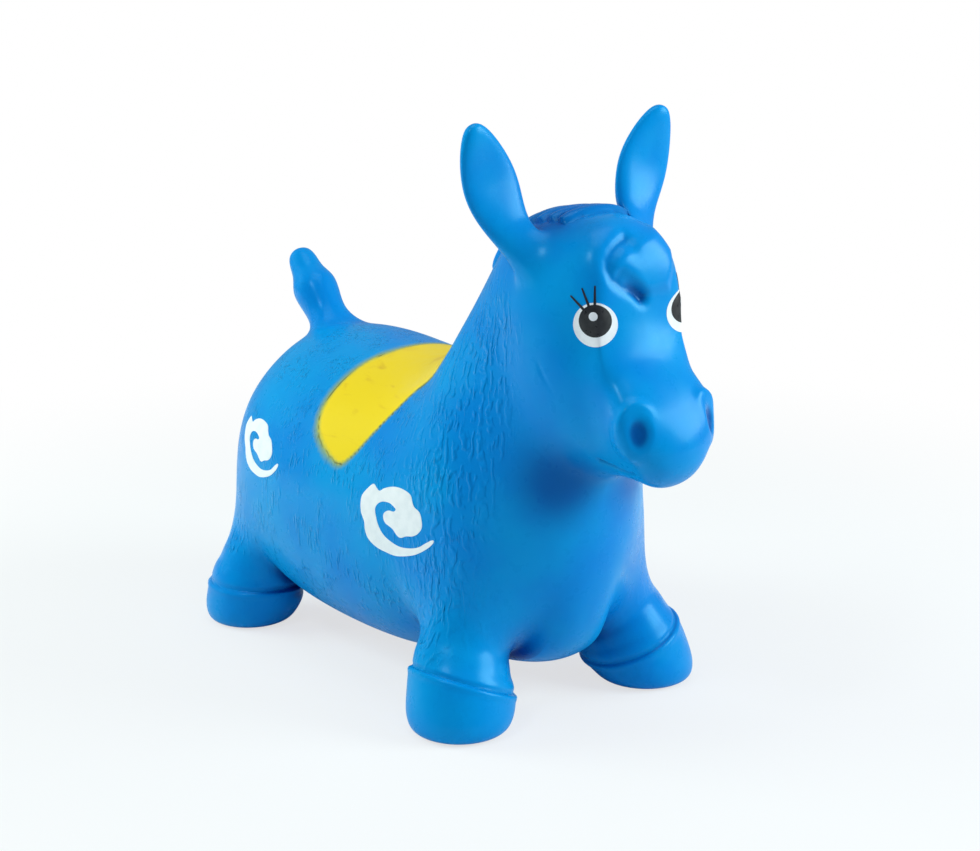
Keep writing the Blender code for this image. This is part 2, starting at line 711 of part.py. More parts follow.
def eye(side, hand, forms):
    """White, pupil, glint and lashes, each a coat of its own with a gap to the next."""
    yaw, pitch = math.radians(EYE_YAW), math.radians(EYE_PITCH)
    level = math.cos(pitch)
    normal = Vector((math.cos(yaw) * level, side * math.sin(yaw) * level, math.sin(pitch)))
    across = Vector((0, 0, 1)).cross(normal).normalized() * side
    up = (Vector((0, 0, 1)) - normal * normal.z).normalized()
    axes = (Vector((EYE_X, side * EYE_Y, EYE_HEIGHT)), across, up)
    frame = (*axes, -PRISM_REACH, PRISM_REACH)
    through = (*axes, -HOLE_REACH, HOLE_REACH)
    pupil_middle = (0, PUPIL_RISE)
    glint_middle = (-GLINT_FORWARD, PUPIL_RISE + GLINT_RISE)
    holes = [prism_mesh("hole", circle(PUPIL_RADIUS + PAINT_GAP, EYE_STEPS, pupil_middle), *through)]
    for number, angle in enumerate(LASH_ANGLES, 1):
        lash, notch = lash_outlines(angle)
        film(f"lash_{number}_{hand}", prism_mesh("lash", lash, *frame), forms, BLACK, LASH_ROUGHNESS)
        holes.append(prism_mesh("notch", notch, *through))
    white = prism_mesh("eye_white", circle(EYE_WHITE_RADIUS, EYE_STEPS, (0, 0)), *frame)
    film(f"eye_white_{hand}", white, forms, WHITE, EYE_ROUGHNESS, holes)
    hole = prism_mesh("hole", circle(GLINT_RADIUS + PAINT_GAP, GLINT_STEPS, glint_middle), *through)
    pupil = prism_mesh("pupil", circle(PUPIL_RADIUS, EYE_STEPS, pupil_middle), *frame)
    film(f"pupil_{hand}", pupil, forms, BLACK, EYE_ROUGHNESS, [hole])
    glint = prism_mesh("glint", circle(GLINT_RADIUS, GLINT_STEPS, glint_middle), *frame)
    film(f"glint_{hand}", glint, forms, WHITE, EYE_ROUGHNESS)


def surface_point(form, start, direction):
    """Where a line from the start first meets a form."""
    shape = form.evaluated_get(bpy.context.evaluated_depsgraph_get())
    return shape.ray_cast(Vector(start), Vector(direction))[1]


def relief(head, forms):
    """Forelock and mane, raised from the head."""
    points = [(share[0] * FORELOCK_WIDTH, share[1] * FORELOCK_DROP) for share in FORELOCK_SHARES]
    frame = (Vector((FORELOCK_X, 0, FORELOCK_HEIGHT)), Vector((0, 1, 0)), Vector((0, 0, 1)))
    curl = prism_mesh("forelock", smooth_outline(points, 2), *frame, -PRISM_REACH, PRISM_REACH * 2)
    forelock = guide("forelock", curl, (0, 0, 0))
    boolean(forelock, "INTERSECT", forms["raised"])
    boolean(head, "UNION", forelock)
    for number in range(MANE_LOCKS):
        x = MANE_START_X + (MANE_END_X - MANE_START_X) * number / (MANE_LOCKS - 1)
        top = surface_point(forms["outer"], (x, 0, CUT_REACH), (0, 0, -1))
        ball = ball_mesh("mane_lock", MANE_LOCK_RADIUS, SMALL_BALL_SEGMENTS)
        lock = guide(f"mane_lock_{number + 1}", ball, top)
        lock.location.z -= MANE_LOCK_RADIUS * MANE_SINK_SHARE
        for vertex in lock.data.vertices:
            vertex.co.y *= MANE_STRETCH
        boolean(head, "UNION", lock)


def face_features(head, forms):
    """Sunk nostrils and mouth line."""
    for hand, side in (("left", 1), ("right", -1)):
        place = Vector((NOSTRIL_X, side * NOSTRIL_Y, NOSTRIL_HEIGHT))
        dimple = guide(f"nostril_{hand}", ball_mesh("nostril", NOSTRIL_RADIUS, SMALL_BALL_SEGMENTS), place)
        boolean(dimple, "DIFFERENCE", forms["sunk"])
        boolean(head, "DIFFERENCE", dimple)
        line = []
        for step in range(MOUTH_STEPS + 1):
            share = step / MOUTH_STEPS
            sag = MOUTH_DROP * (1 - (2 * share - 1) ** 2)
            line.append((MOUTH_X + MOUTH_LENGTH * share, MOUTH_HEIGHT - sag))
        outline = [(x, z + MOUTH_GROOVE / 2) for x, z in line]
        outline += [(x, z - MOUTH_GROOVE / 2) for x, z in reversed(line)]
        frame = (Vector((0, 0, 0)), Vector((1, 0, 0)), Vector((0, 0, 1)))
        groove = prism_mesh("mouth", outline, *frame, -side * MOUTH_GROOVE, -side * CUT_REACH)
        groove = guide(f"mouth_{hand}", groove, (0, 0, 0))
        boolean(groove, "DIFFERENCE", forms["sunk"])
        boolean(head, "DIFFERENCE", groove)


def prints(forms):
    """Saddle over the back, and a cloud scroll on each flank and haunch."""
    width, height = SADDLE_FRONT - SADDLE_REAR, BACK_HEIGHT - SADDLE_HEIGHT
    outline = [(SADDLE_REAR + x * width, SADDLE_HEIGHT + z * height) for x, z in SADDLE_SHARES]
    film("saddle_paint", slab_mesh("saddle_paint", outline, CUT_REACH), forms, YELLOW, SADDLE_ROUGHNESS)
    for place, (middle_x, middle_z, width, height) in (("flank", FLANK_PRINT), ("haunch", HAUNCH_PRINT)):
        points = [((x - 0.5) * width, (z - 0.5) * height) for x, z in CLOUD_SHARES]
        frame = (Vector((middle_x, 0, middle_z)), Vector((1, 0, 0)), Vector((0, 0, 1)))
        for hand, side in (("left", 1), ("right", -1)):
            name = f"{place}_print_{hand}"
            mesh = prism_mesh(name, points, *frame, -side * PRINT_SIDE_START, -side * CUT_REACH)
            film(name, mesh, forms, WHITE, PRINT_ROUGHNESS)


def valve(torso, forms):
    """A seat ring let into the back of the rump, and its plug, both turned about an axis along X."""
    place = surface_point(forms["outer"], (-CUT_REACH, 0, VALVE_HEIGHT), (1, 0, 0))
    outer = place.x - VALVE_PROUD
    depth = VALVE_LENGTH
    hole_radius = VALVE_RADIUS + FIT_GAP
    hole = turned("valve_hole", [(hole_radius, -depth), (hole_radius, depth * 2)], place, False)
    hole.hide_render = True
    hole.display_type = "WIRE"
    boolean(torso, "DIFFERENCE", hole)
    ring = [(VALVE_BORE + EDGE_ROUND, 0), (VALVE_RADIUS - EDGE_ROUND, 0), (VALVE_RADIUS, EDGE_ROUND),
            (VALVE_RADIUS, depth), (VALVE_BORE, depth), (VALVE_BORE, EDGE_ROUND)]
    seat = turned("valve_seat", ring, Vector((outer, 0, place.z)), True)
    seat.data.materials.append(coloured("valve_seat", (0.0, 0.16, 0.55), 0.4))
    stem = VALVE_BORE - FIT_GAP
    plug = [(stem * PLUG_TIP_SHARE, PLUG_STEM), (stem, PLUG_STEM * PLUG_TIP_SHARE), (stem, -FIT_GAP),
            (PLUG_HEAD_RADIUS - EDGE_ROUND, -FIT_GAP), (PLUG_HEAD_RADIUS, -FIT_GAP - EDGE_ROUND),
            (PLUG_HEAD_RADIUS, -PLUG_HEAD + EDGE_ROUND), (PLUG_HEAD_RADIUS - EDGE_ROUND, -PLUG_HEAD)]
    plug = turned("valve_plug", plug, Vector((outer, 0, place.z)), False)
    plug.data.materials.append(coloured("valve_plug", (0.0, 0.14, 0.50), 0.4))


def turned(name, profile, place, closed):
    """A profile of radius and depth pairs, turned about the X axis through the place."""
    mesh = turned_mesh(name, profile, closed)
    mesh.transform(Matrix.Rotation(math.radians(90), 4, "Y"))
    mesh.shade_smooth()
    mesh.set_sharp_from_angle(angle=math.radians(SHARP_ANGLE))
    return node(name, mesh, place, None)


clear_scene()
forms = {
    "outer": skin_form("outer_form", False, 0),
    "inner": skin_form("inner_form", True, -SKIN_WALL),
    "seat": skin_form("paint_seat_form", False, PAINT_GAP),
    "paint": skin_form("paint_face_form", False, PAINT_GAP + PAINT_FILM),
    "raised": skin_form("raised_form", False, RELIEF_HEIGHT),
    "sunk": skin_form("sunk_form", False, -RELIEF_DEPTH),
}
sockets = limb_parts(forms)
pieces = trunk_parts(forms)
relief(pieces["head_skin"], forms)
for piece in pieces.values():
    boolean(piece, "DIFFERENCE", forms["inner"])
face_features(pieces["head_skin"], forms)
for socket in sockets["torso"]:
    boolean(pieces["torso_skin"], "DIFFERENCE", socket)
for socket in sockets["head"]:
    boolean(pieces["head_skin"], "DIFFERENCE", socket)
prints(forms)
for hand, side in (("left", 1), ("right", -1)):
    eye(side, hand, forms)
valve(pieces["torso_skin"], forms)
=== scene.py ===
"""Inflatable hopping horse: one moulded vinyl skin, a painted saddle, printed scrolls and eyes, a valve.

The skin repeats the quad cage of the solid model, subdivided finer, with the relief of the mould laid on
it. It is split where legs, ears and tail flex. Metres, +X forward, +Z up.
"""
from math import ceil, copysign, cos, pi, radians, sin

import bmesh
import bpy
import numpy as np
from mathutils import Matrix, Vector
from mathutils.bvhtree import BVHTree
from mathutils.geometry import delaunay_2d_cdt
from mathutils.interpolate import poly_3d_calc

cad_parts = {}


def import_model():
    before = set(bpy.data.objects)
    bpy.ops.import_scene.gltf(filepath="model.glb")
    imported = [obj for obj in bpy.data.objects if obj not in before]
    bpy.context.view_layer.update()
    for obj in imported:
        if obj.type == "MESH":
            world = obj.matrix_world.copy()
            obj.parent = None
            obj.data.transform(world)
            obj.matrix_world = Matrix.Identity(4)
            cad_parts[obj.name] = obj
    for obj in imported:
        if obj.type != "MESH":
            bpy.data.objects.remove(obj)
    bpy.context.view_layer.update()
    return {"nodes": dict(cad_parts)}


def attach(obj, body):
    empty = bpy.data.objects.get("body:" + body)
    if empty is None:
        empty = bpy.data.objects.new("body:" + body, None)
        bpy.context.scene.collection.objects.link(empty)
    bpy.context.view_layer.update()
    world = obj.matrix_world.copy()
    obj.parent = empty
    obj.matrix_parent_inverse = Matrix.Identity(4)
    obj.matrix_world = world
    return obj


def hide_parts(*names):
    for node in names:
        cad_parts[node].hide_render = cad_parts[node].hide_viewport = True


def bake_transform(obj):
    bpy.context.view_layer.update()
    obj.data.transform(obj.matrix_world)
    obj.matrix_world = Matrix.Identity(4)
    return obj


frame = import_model()

# Camera: degrees round the object and above the floor, distance, aim, and lens on a 36 mm sensor
CAMERA_TURN = 54.1
CAMERA_RISE = 15.9
CAMERA_DISTANCE = 1.902
CAMERA_AIM = Vector((0.015, 0.011, 0.216))
CAMERA_LENS = 80.8

# Trunk
BARREL_LENGTH = 0.450
RUMP_REACH = 0.263
BACK_HEIGHT = 0.280
BARREL_WIDTH = 0.264
RUMP_BULGE = 0.008

# Neck and head
POLL_HEIGHT = 0.434
NECK_BACK = 0.038
FACE_LENGTH = 0.330
NECK_WIDTH = 0.200
HEAD_WIDTH = 0.150
NOSE_BULGE = 0.007

# Rings of the barrel: top x and z, bottom x and z, half width, as shares of length, height and half width
BARREL_RING_SHARES = (
    (0.013, 0.750, 0.012, 0.480, 0.37),
    (0.052, 0.868, 0.024, 0.290, 0.64),
    (0.094, 0.936, 0.065, 0.170, 0.82),
    (0.162, 0.974, 0.150, 0.110, 0.95),
    (0.240, 0.986, 0.240, 0.075, 1.00),
    (0.370, 0.976, 0.400, 0.056, 1.01),
    (0.530, 0.980, 0.630, 0.062, 0.94),
)
# Rings of the neck and head, in the same order, as shares of face length, poll height and half width
NECK_RING_SHARES = (
    (0.142, 0.666, 0.290, 0.054, 1.18),
    (0.210, 0.712, 0.500, 0.072, 1.12),
    (0.254, 0.777, 0.605, 0.125, 1.03),
    (0.300, 0.842, 0.655, 0.255, 0.86),
    (0.346, 0.902, 0.672, 0.370, 0.75),
)
HEAD_RING_SHARES = (
    (0.422, 0.945, 0.680, 0.450, 0.91),
    (0.498, 0.978, 0.700, 0.490, 0.92),
    (0.580, 0.998, 0.730, 0.505, 0.89),
    (0.665, 1.002, 0.770, 0.510, 0.81),
    (0.750, 0.988, 0.795, 0.512, 0.70),
    (0.804, 0.928, 0.825, 0.513, 0.64),
    (0.808, 0.835, 0.875, 0.515, 0.60),
    (0.834, 0.755, 0.915, 0.515, 0.61),
    (0.895, 0.716, 0.950, 0.530, 0.66),
    (0.945, 0.672, 0.975, 0.557, 0.50),
)
RING_ANGLES = (0, 26, 52, 78, 103, 124, 143, 161, 180)
BARREL_FULLNESS_SHARE = 0.75
BROW_FULLNESS_SHARE = 0.70

# Legs: X and Y of the foot's middle, radius of the sole, and how far the root lies inward of the foot
FRONT_FOOT = (0.124, 0.099, 0.044, 0.026)
REAR_FOOT = (-0.203, 0.108, 0.042, 0.014)
LEG_RISE = 0.072
LEG_TOE_ANGLE = 30
# Rings of a leg from the root down: height, radius, share of the inward lean, and rise of the outer side
LEG_RING_SHARES = (
    (0.92, 0.80, 0.90, 0.48),
    (0.73, 0.90, 0.68, 0.44),
    (0.60, 0.93, 0.52, 0.38),
    (0.52, 1.04, 0.42, 0.36),
    (0.15, 1.07, 0.05, 0.04),
    (0.02, 0.95, 0.00, 0.00),
    (0.00, 0.72, 0.00, 0.00),
)
REAR_LEG_ROW = 1
FRONT_LEG_ROW = 7
LEG_COLUMN = 4

# Ears, with rings as shares of growth, width and depth, and the hollow of the front
EAR_ROOT = Vector((0.143, 0.05805, 0.4049))
EAR_GROWTH = Vector((-0.006, 0.037, 0.096))
EAR_WIDTH = 0.055
EAR_DEPTH = 0.024
EAR_BOW = 0.004
EAR_FOOT_SHARE = 0.5
EAR_ROW = 13
EAR_COLUMN = 1
EAR_RING_SHARES = (
    (0.12, 0.77, 0.98, 0.0),
    (0.34, 1.00, 1.00, 0.5),
    (0.52, 1.03, 1.05, 0.7),
    (0.70, 0.86, 0.98, 0.6),
    (0.87, 0.58, 0.80, 0.3),
    (0.97, 0.28, 0.50, 0.0),
)

# Tail, with rings as shares of growth and radius
TAIL_ROOT = Vector((-0.224, 0, 0.2621))
TAIL_GROWTH = Vector((-0.059, 0, 0.062))
TAIL_RADIUS = 0.022
TAIL_ROW = 1
TAIL_FOOT_SHARE = 0.6
TAIL_RING_SHARES = ((0.08, 0.85), (0.32, 1.00), (0.52, 1.12), (0.68, 0.72), (0.86, 0.70), (0.97, 0.45))

# Both sides, with the sign of Y
HANDS = (("left", 1), ("right", -1))

# Skin
SKIN_LEVELS = 4
MERGE_DISTANCE = 0.0001
TRUNK, FRONT_LEG, REAR_LEG, EAR, TAIL = range(5)

# Mane: a row of lobes down the back line of the head
MANE_START_X = 0.090
MANE_END_X = 0.168
MANE_LOBES = 7
MANE_LOBE_RADII = (0.0078, 0.0400)
MANE_RISE = 0.0070
MANE_LEAST_HEIGHT = 0.36
# Painted shade on the mane's ridge: a fade length at its ends, start and length to the side in half widths,
# and strength
MANE_END_FADE = 0.02
MANE_SIDE_SHARES = (0.9, 0.5)
MANE_SHADE = 0.60
# Depth of a dent that gets the full painted shade, and middle, reach and strength of the painted shadow
# below the jaw
RECESS_DEPTH = 0.0050
THROAT = (0.178, 0.038, 0.216)
THROAT_REACH = 0.038
THROAT_SHADE = 0.95

# Forelock, as Y and Z on the forehead: its near edge, its far border, its lower groove and its pit
FORELOCK_EDGE = (
    (-0.006, 0.415), (-0.015, 0.411), (-0.0225, 0.406), (-0.028, 0.400), (-0.0295, 0.394),
    (-0.027, 0.3865), (-0.019, 0.380), (-0.008, 0.374), (0.0007, 0.368),
)
FORELOCK_FAR = ((0.030, 0.369), (0.042, 0.400), (0.030, 0.425))
FORELOCK_GROOVE = ((-0.019, 0.3895), (-0.013, 0.385), (-0.0074, 0.3795), (0.0007, 0.370))
FORELOCK_PIT = (-0.005, 0.4075)
FORELOCK_RISE = 0.0030
FORELOCK_SHOULDER = 0.0110
# X where the forelock begins, and over how far
FORELOCK_START = (0.185, 0.012)
# Depth and reach of the dents along the edge, along the groove and in the pit
FORELOCK_EDGE_DENT = (0.0022, 0.0046)
FORELOCK_GROOVE_DENT = (0.0034, 0.0048)
FORELOCK_PIT_DENT = (0.0016, 0.0060)

# Nostrils, eyes, mouth and cheek
NOSTRIL = (0.2735, 0.0376, 0.2767)
NOSTRIL_RADII = (0.0112, 0.0158)
NOSTRIL_DEPTH = 0.0050
NOSTRIL_RIM = 0.0024
NOSTRIL_SPREAD = 0.030
# Flat floor and sloping wall, then middle and reach of the rim, as shares of the radii
NOSTRIL_WALL_SHARES = (0.20, 0.95)
NOSTRIL_RIM_SHARES = (1.42, 0.26)
# The rim dies out forwards and below: the weights of both, and start and rate of that fade, and the
# least reach that it is worked out for
NOSTRIL_OPEN_SHARES = (0.94, 0.34)
NOSTRIL_OPEN_FADE = (0.6, 0.8)
NOSTRIL_LEAST_REACH = 0.01
MOUTH_LINE = ((0.219, 0.2415), (0.228, 0.2385), (0.238, 0.2365), (0.248, 0.2365), (0.257, 0.238))
MOUTH_DENT = (0.0016, 0.0018)
CHEEK_LINE = (
    (0.182, 0.065, 0.315), (0.186, 0.064, 0.308), (0.1905, 0.063, 0.301), (0.196, 0.061, 0.294),
)
CHEEK_DENT = (0.0012, 0.0020)
EYE_BULGE = 0.0010
# Flat top and slope of the eye's dome, as shares of the white's radius
EYE_DOME_SHARES = (0.5, 0.55)

# Soft swells and hollows on both sides, as middle, reach and rise: crown, brow, root of the ear, eye,
# below the nostril, shoulder, and the leg's back over the front hoof
SWELLS = (
    ((0.158, 0.000, 0.432), 0.034, -0.0058),
    ((0.212, 0.032, 0.400), 0.020, 0.0008),
    ((0.186, 0.046, 0.426), 0.022, -0.0045),
    ((0.226, 0.050, 0.342), 0.026, -0.0050),
    ((0.272, 0.038, 0.248), 0.018, -0.0050),
    ((0.147, 0.125, 0.110), 0.032, -0.0060),
    ((0.098, 0.125, 0.066), 0.022, 0.0050),
)

# Hoof bands: height at the foot's middle, and rise per metre outwards and towards the toe
FRONT_BAND = (0.0430, 0.42, 0.08)
REAR_BAND = (0.0378, 0.05, 0.00)
BAND_RISE = 0.0016
# The rim's depth below the band, the groove's height above it, each with its reach, and the step
BAND_RIM = (0.0036, 0.0030)
BAND_GROOVE = (0.0012, 0.0020)
BAND_STEP = 0.0030
BAND_RIM_SHARE = 0.7
BAND_HOOF_SHARE = 0.6
SOLE_ROUNDING = 0.020

# Fur: X and Z of a point on the line where it ends at the head, and the way across that line; its fades
FUR_END = (0.150, 0.300)
FUR_END_WAY = (0.93, -0.10)
FUR_END_FADE = 0.035
FUR_LOW_FADE = (0.045, 0.030)
FUR_HIGH_FADE = (0.330, 0.060)

# Saddle paint: X and Z of its outline, seen from the side
SADDLE_OUTLINE = (
    (-0.076, 0.340), (-0.080, 0.272), (-0.0855, 0.262), (-0.0865, 0.250), (-0.086, 0.237), (-0.082, 0.223),
    (-0.073, 0.211), (-0.057, 0.201), (-0.041, 0.195), (-0.033, 0.193), (-0.025, 0.197), (-0.015, 0.208),
    (-0.004, 0.225), (0.008, 0.243), (0.020, 0.260), (0.032, 0.270), (0.041, 0.278), (0.045, 0.286),
    (0.046, 0.300), (0.046, 0.340),
)
SADDLE_LOWEST = 0.190
SADDLE_RAISE = 0.0005
SADDLE_STEP = 0.003
SADDLE_SEAM_REACH = 0.0016
SADDLE_MARGIN = 0.012

# Cloud scroll prints: X and Z of the middle, of the way across and of the way up
FLANK_PRINT = ((0.0518, 0.1612), (0.0900, 0.0215), (-0.0030, 0.0663))
HAUNCH_PRINT = ((-0.1530, 0.1776), (0.0640, 0.0150), (-0.0215, 0.0535))
CLOUD_SHARES = (
    (0.15, 1.00), (0.20, 0.95), (0.25, 0.91), (0.31, 0.94), (0.41, 0.96), (0.51, 0.95), (0.61, 0.91),
    (0.69, 0.85), (0.72, 0.76), (0.75, 0.70), (0.82, 0.63), (0.85, 0.52), (0.85, 0.43), (0.80, 0.36),
    (0.73, 0.33), (0.65, 0.33), (0.57, 0.31), (0.52, 0.34), (0.47, 0.41), (0.44, 0.44), (0.36, 0.50),
    (0.33, 0.57), (0.34, 0.63), (0.40, 0.66), (0.47, 0.645), (0.50, 0.67), (0.48, 0.70), (0.41, 0.755),
    (0.31, 0.775), (0.24, 0.745), (0.21, 0.68), (0.23, 0.57), (0.265, 0.46), (0.33, 0.345), (0.44, 0.25),
    (0.56, 0.19), (0.70, 0.175), (0.81, 0.19), (0.90, 0.24), (0.98, 0.28), (1.00, 0.255), (0.945, 0.19),
    (0.83, 0.12), (0.70, 0.08), (0.49, 0.07), (0.34, 0.12), (0.215, 0.19), (0.115, 0.30), (0.075, 0.42),
    (0.065, 0.52), (0.02, 0.63), (0.00, 0.75), (0.01, 0.86), (0.08, 0.95),
)

# Eyes
EYE = (0.2262, 0.0440, 0.3530)
EYE_YAW = 43
EYE_PITCH = 10
EYE_WHITE_RADIUS = 0.0170
PUPIL_RADIUS = 0.0125
PUPIL_RISE = 0.0030
GLINT_RADIUS = 0.0034
GLINT_FORWARD = -0.0012
GLINT_RISE = 0.0035
LASH_LENGTH = 0.0145
LASH_WIDTH = 0.0021
LASH_START = 0.0120
LASH_ANGLES = (44, 67, 89)
LASH_TIP_SHARE = 0.60

# Coats of paint: height of the lowest over the skin, of each further one, and depth of the hidden side
COAT_LIFT = 0.00018
COAT_STEP = 0.00012
COAT_ROOT = 0.0003
COAT_EDGE_SHARE = 0.1
# Distance from which a coat is thrown on to the skin, and the spacing of its net of points
FILM_REACH = 0.400
EYE_NET = 0.0012
GLINT_NET = 0.0008
LASH_NET = 0.0007
PRINT_NET = 0.0016
CURVE_STEPS = 4
CIRCLE_SIDES = 64
NET_TOLERANCE = 1e-7

# Valve: centre height and the radius within which the skin is open for it
VALVE_HEIGHT = 0.165
VALVE_OPENING = 0.0066

# Colours, linear
# BLUE_SHADED is painted shade, laid where the skin faces itself, in dents, on the mane's ridge and below the
# jaw
BLUE_SHADED = (0.00, 0.035, 0.26)
BLUE_DEEP = (0.00, 0.22, 0.66)
BLUE_BRIGHT = (0.00, 0.30, 0.70)
YELLOW_DEEP = (0.74, 0.45, 0.008)
YELLOW_BRIGHT = (0.90, 0.64, 0.01)
SADDLE_SEAM = (0.11, 0.12, 0.03)
OLIVE_MIST = (0.30, 0.38, 0.06)
VALVE_DEEP = (0.00, 0.10, 0.42)
VALVE_BRIGHT = (0.00, 0.15, 0.52)
FLOOR_COLOUR = (0.74, 0.78, 0.80)
AMBIENT_COLOUR = (0.72, 0.85, 1.00)
WHITE = (1, 1, 1)
# Gloss of the skin and of the inks
SKIN_GLOSS = {"Specular IOR Level": 0.25, "Specular Tint": (0.05, 0.75, 1.00, 1),
              "Coat Weight": 0.11, "Coat Roughness": 0.22}
INK_GLOSS = {"Specular IOR Level": 0.40}
# Inks: colour, blotches and roughness
WHITE_INK = ((0.88, 0.88, 0.90), (0.80, 0.81, 0.84), (0.37, 0.49))
BLACK_INK = ((0.012, 0.012, 0.014), (0.025, 0.025, 0.028), (0.27, 0.39))

# Painted shade: how far off a neighbour still darkens the blue, by how many rays and over what openness,
# and how much light is kept where dents, the mane's ridge and the jaw get their full painted shade
SHADE_REACH = 0.150
SHADE_RAYS = 8
SHADE_RANGE = (0.45, 0.92)
PAINTED_SHADE_OPEN_SHARE = 0.25
SKIN_ROUGHNESS = (0.27, 0.38)
PAINT_ROUGHNESS = 0.05
VALVE_ROUGHNESS = (0.34, 0.50)
# Noise: scale and detail, and the span that is read
SKIN_CLOUDS = (11.0, 3.0, 0.30, 0.72)
SKIN_SCUFFS = (85.0, 5.0, 0.35, 0.75)
FUR_PATCHES = (34.0, 1.0, 0.42, 0.60)
WAVE_BREAKS = (100.0, 1.0, 0.38, 0.60)
INK_BLOTCHES = (130.0, 4.0, 0.35, 0.75)
INK_DRYNESS = (300.0, 3.0, 0.30, 0.70)
VALVE_CLOUDS = (160.0, 4.0, 0.30, 0.70)
VALVE_SCUFFS = (500.0, 4.0, 0.30, 0.70)
# Noise stretched along one way: its angle and its scales, then detail, distortion and span
STROKES = (24, (340.0, 340.0, 70.0), 1.0, 0.4, 0.50, 0.80)
STREAKS = (58, (30.0, 12.0, 160.0), 3.0, 0.5, 0.56, 0.80)
# Noise that is read whole: scale and detail
GRAIN = (700.0, 2.0)
TURNING = (1400.0, 2.0)
SPECKLE = (420.0, 3.0)
SPECKLE_REACH = 0.0030
WAVE_TURN = 12
WAVE_STRETCH = (1.0, 1.0, 0.55)
WAVES = {"Scale": 40.0, "Distortion": 8.0, "Detail": 2.0, "Detail Scale": 1.8}
WAVE_RANGE = (0.20, 1.00)
# Bumps: depth in metres and strength
GRAIN_BUMP = (0.0002, 0.25)
STROKE_BUMP = (0.0014, 0.8)
WAVE_BUMP = (0.0014, 0.7)
LINE_BUMP = (0.0008, 0.7)
TURNING_BUMP = (0.0001, 0.3)
LINE_SPAN = (0.0, 0.0014)
# X over which the waves of the chest grow
CHEST_RANGE = (0.030, 0.100)
# Distances from the saddle's edge over which fur, mist, solid paint and the seam's tint change
FUR_CLEARANCE = (-0.004, 0.0)
MIST_RANGE = (-0.0110, -0.0005)
SOLID_RANGE = (-0.0045, 0.0035)
SEAM_RANGE = (0.0003, 0.0014)
MIST_SHARE = 0.90
SEAM_SHARE = 0.75
# The mist narrows forwards to this share between these two X
MIST_NARROWING = (-0.060, 0.000)
MIST_NARROW_SHARE = 0.35

# Lamps: name, metres from the aim towards the camera, to its right and up, side, watts, colour, gloss seen
LAMPS = (
    ("left_light", (-0.15, -1.9, 0.8), 1.2, 31, (0.84, 1.00, 0.86), False),
    ("right_light", (0.50, 1.8, 0.7), 1.1, 34, (0.88, 1.00, 0.97), True),
    ("front_light", (1.50, -0.9, 1.3), 0.4, 8, (0.90, 0.95, 1.00), True),
    ("top_light", (0.6205, 0.0, 1.8273), 1.2, 9, WHITE, True),
)
AMBIENT_STRENGTH = 0.33
# Floor: half its side, metres from the origin over which it runs out into white, and white at the start
FLOOR_HALF = 4
FLOOR_FADE = (0.45, 1.10)
FLOOR_WHITE_SHARE = 0.70


# The cage


def half_ring(top, bottom, half_width, brow, fullness):
    """Points from the back line over the left side to the belly line.

    A low brow makes the upper half squarer, and a low fullness the lower half.
    """
    middle = (top + bottom) / 2
    half = (top - bottom) / 2
    points = []
    for angle in RING_ANGLES:
        turn = radians(angle)
        rise, side = cos(turn), abs(sin(turn))
        power = fullness if angle > 90 else brow
        rise, side = copysign(abs(rise) ** power, rise), side ** power
        if angle in (0, 180):
            side = 0
        points.append(middle + half * rise + Vector((0, half_width * side, 0)))
    return points


def trunk_rings():
    parts = (
        (BARREL_RING_SHARES, BARREL_LENGTH, RUMP_REACH, BACK_HEIGHT, BARREL_WIDTH, 1, BARREL_FULLNESS_SHARE),
        (NECK_RING_SHARES, FACE_LENGTH, NECK_BACK, POLL_HEIGHT, NECK_WIDTH, 1, 1),
        (HEAD_RING_SHARES, FACE_LENGTH, NECK_BACK, POLL_HEIGHT, HEAD_WIDTH, BROW_FULLNESS_SHARE, 1),
    )
    rings = []
    for shares, length, start, height, full_width, brow, fullness in parts:
        for top_x, top_z, low_x, low_z, width in shares:
            top = Vector((top_x * length - start, 0, top_z * height))
            low = Vector((low_x * length - start, 0, low_z * height))
            rings.append(half_ring(top, low, width * full_width / 2, brow, fullness))
    return rings


def face(cage, corners, zone):
    cage.faces.new(corners).material_index = zone


def skirt(cage, upper, lower, closed, zone):
    """Quads between two rows of vertices of equal count."""
    count = len(upper)
    for index in range(count if closed else count - 1):
        after = (index + 1) % count
        face(cage, (upper[index], upper[after], lower[after], lower[index]), zone)


def patch_border(rows, first, column, size):
    """The vertices round a square patch of the trunk."""
    row, border = first, []
    for down, along in ((1, 0), (0, 1), (-1, 0), (0, -1)):
        for _ in range(size):
            border.append(rows[row][column])
            row, column = row + down, column + along
    return border


def foot_ring(cage, border, middle, share, closed, zone):
    """A smaller ring within a patch's border, in place of its middle vertex."""
    ring = [cage.verts.new(middle.co.lerp(vertex.co, share)) for vertex in border]
    cage.verts.remove(middle)
    skirt(cage, border, ring, closed, zone)
    return ring


def half_cap(cage, ring, bulge):
    """Close a half ring of nine vertices with a grid two quads wide and four high."""
    grid = [ring[:3], *([None, None, ring[index]] for index in (3, 4, 5)), ring[:5:-1]]
    for row in (1, 2, 3):
        drop = row / 4
        swell = 1 - (2 * drop - 1) ** 2
        for column in (0, 1):
            across = column / 2
            vertical = grid[0][column].co.lerp(grid[4][column].co, drop)
            outer = grid[row][2].co
            point = Vector((outer.x, 0, outer.z)).lerp(outer, across)
            point = (point + vertical) / 2
            if column == 0:
                point.y = 0
            grid[row][column] = cage.verts.new(point + bulge * swell * (1 - across ** 2))
    for upper, lower in zip(grid, grid[1:]):
        skirt(cage, upper, lower, False, TRUNK)


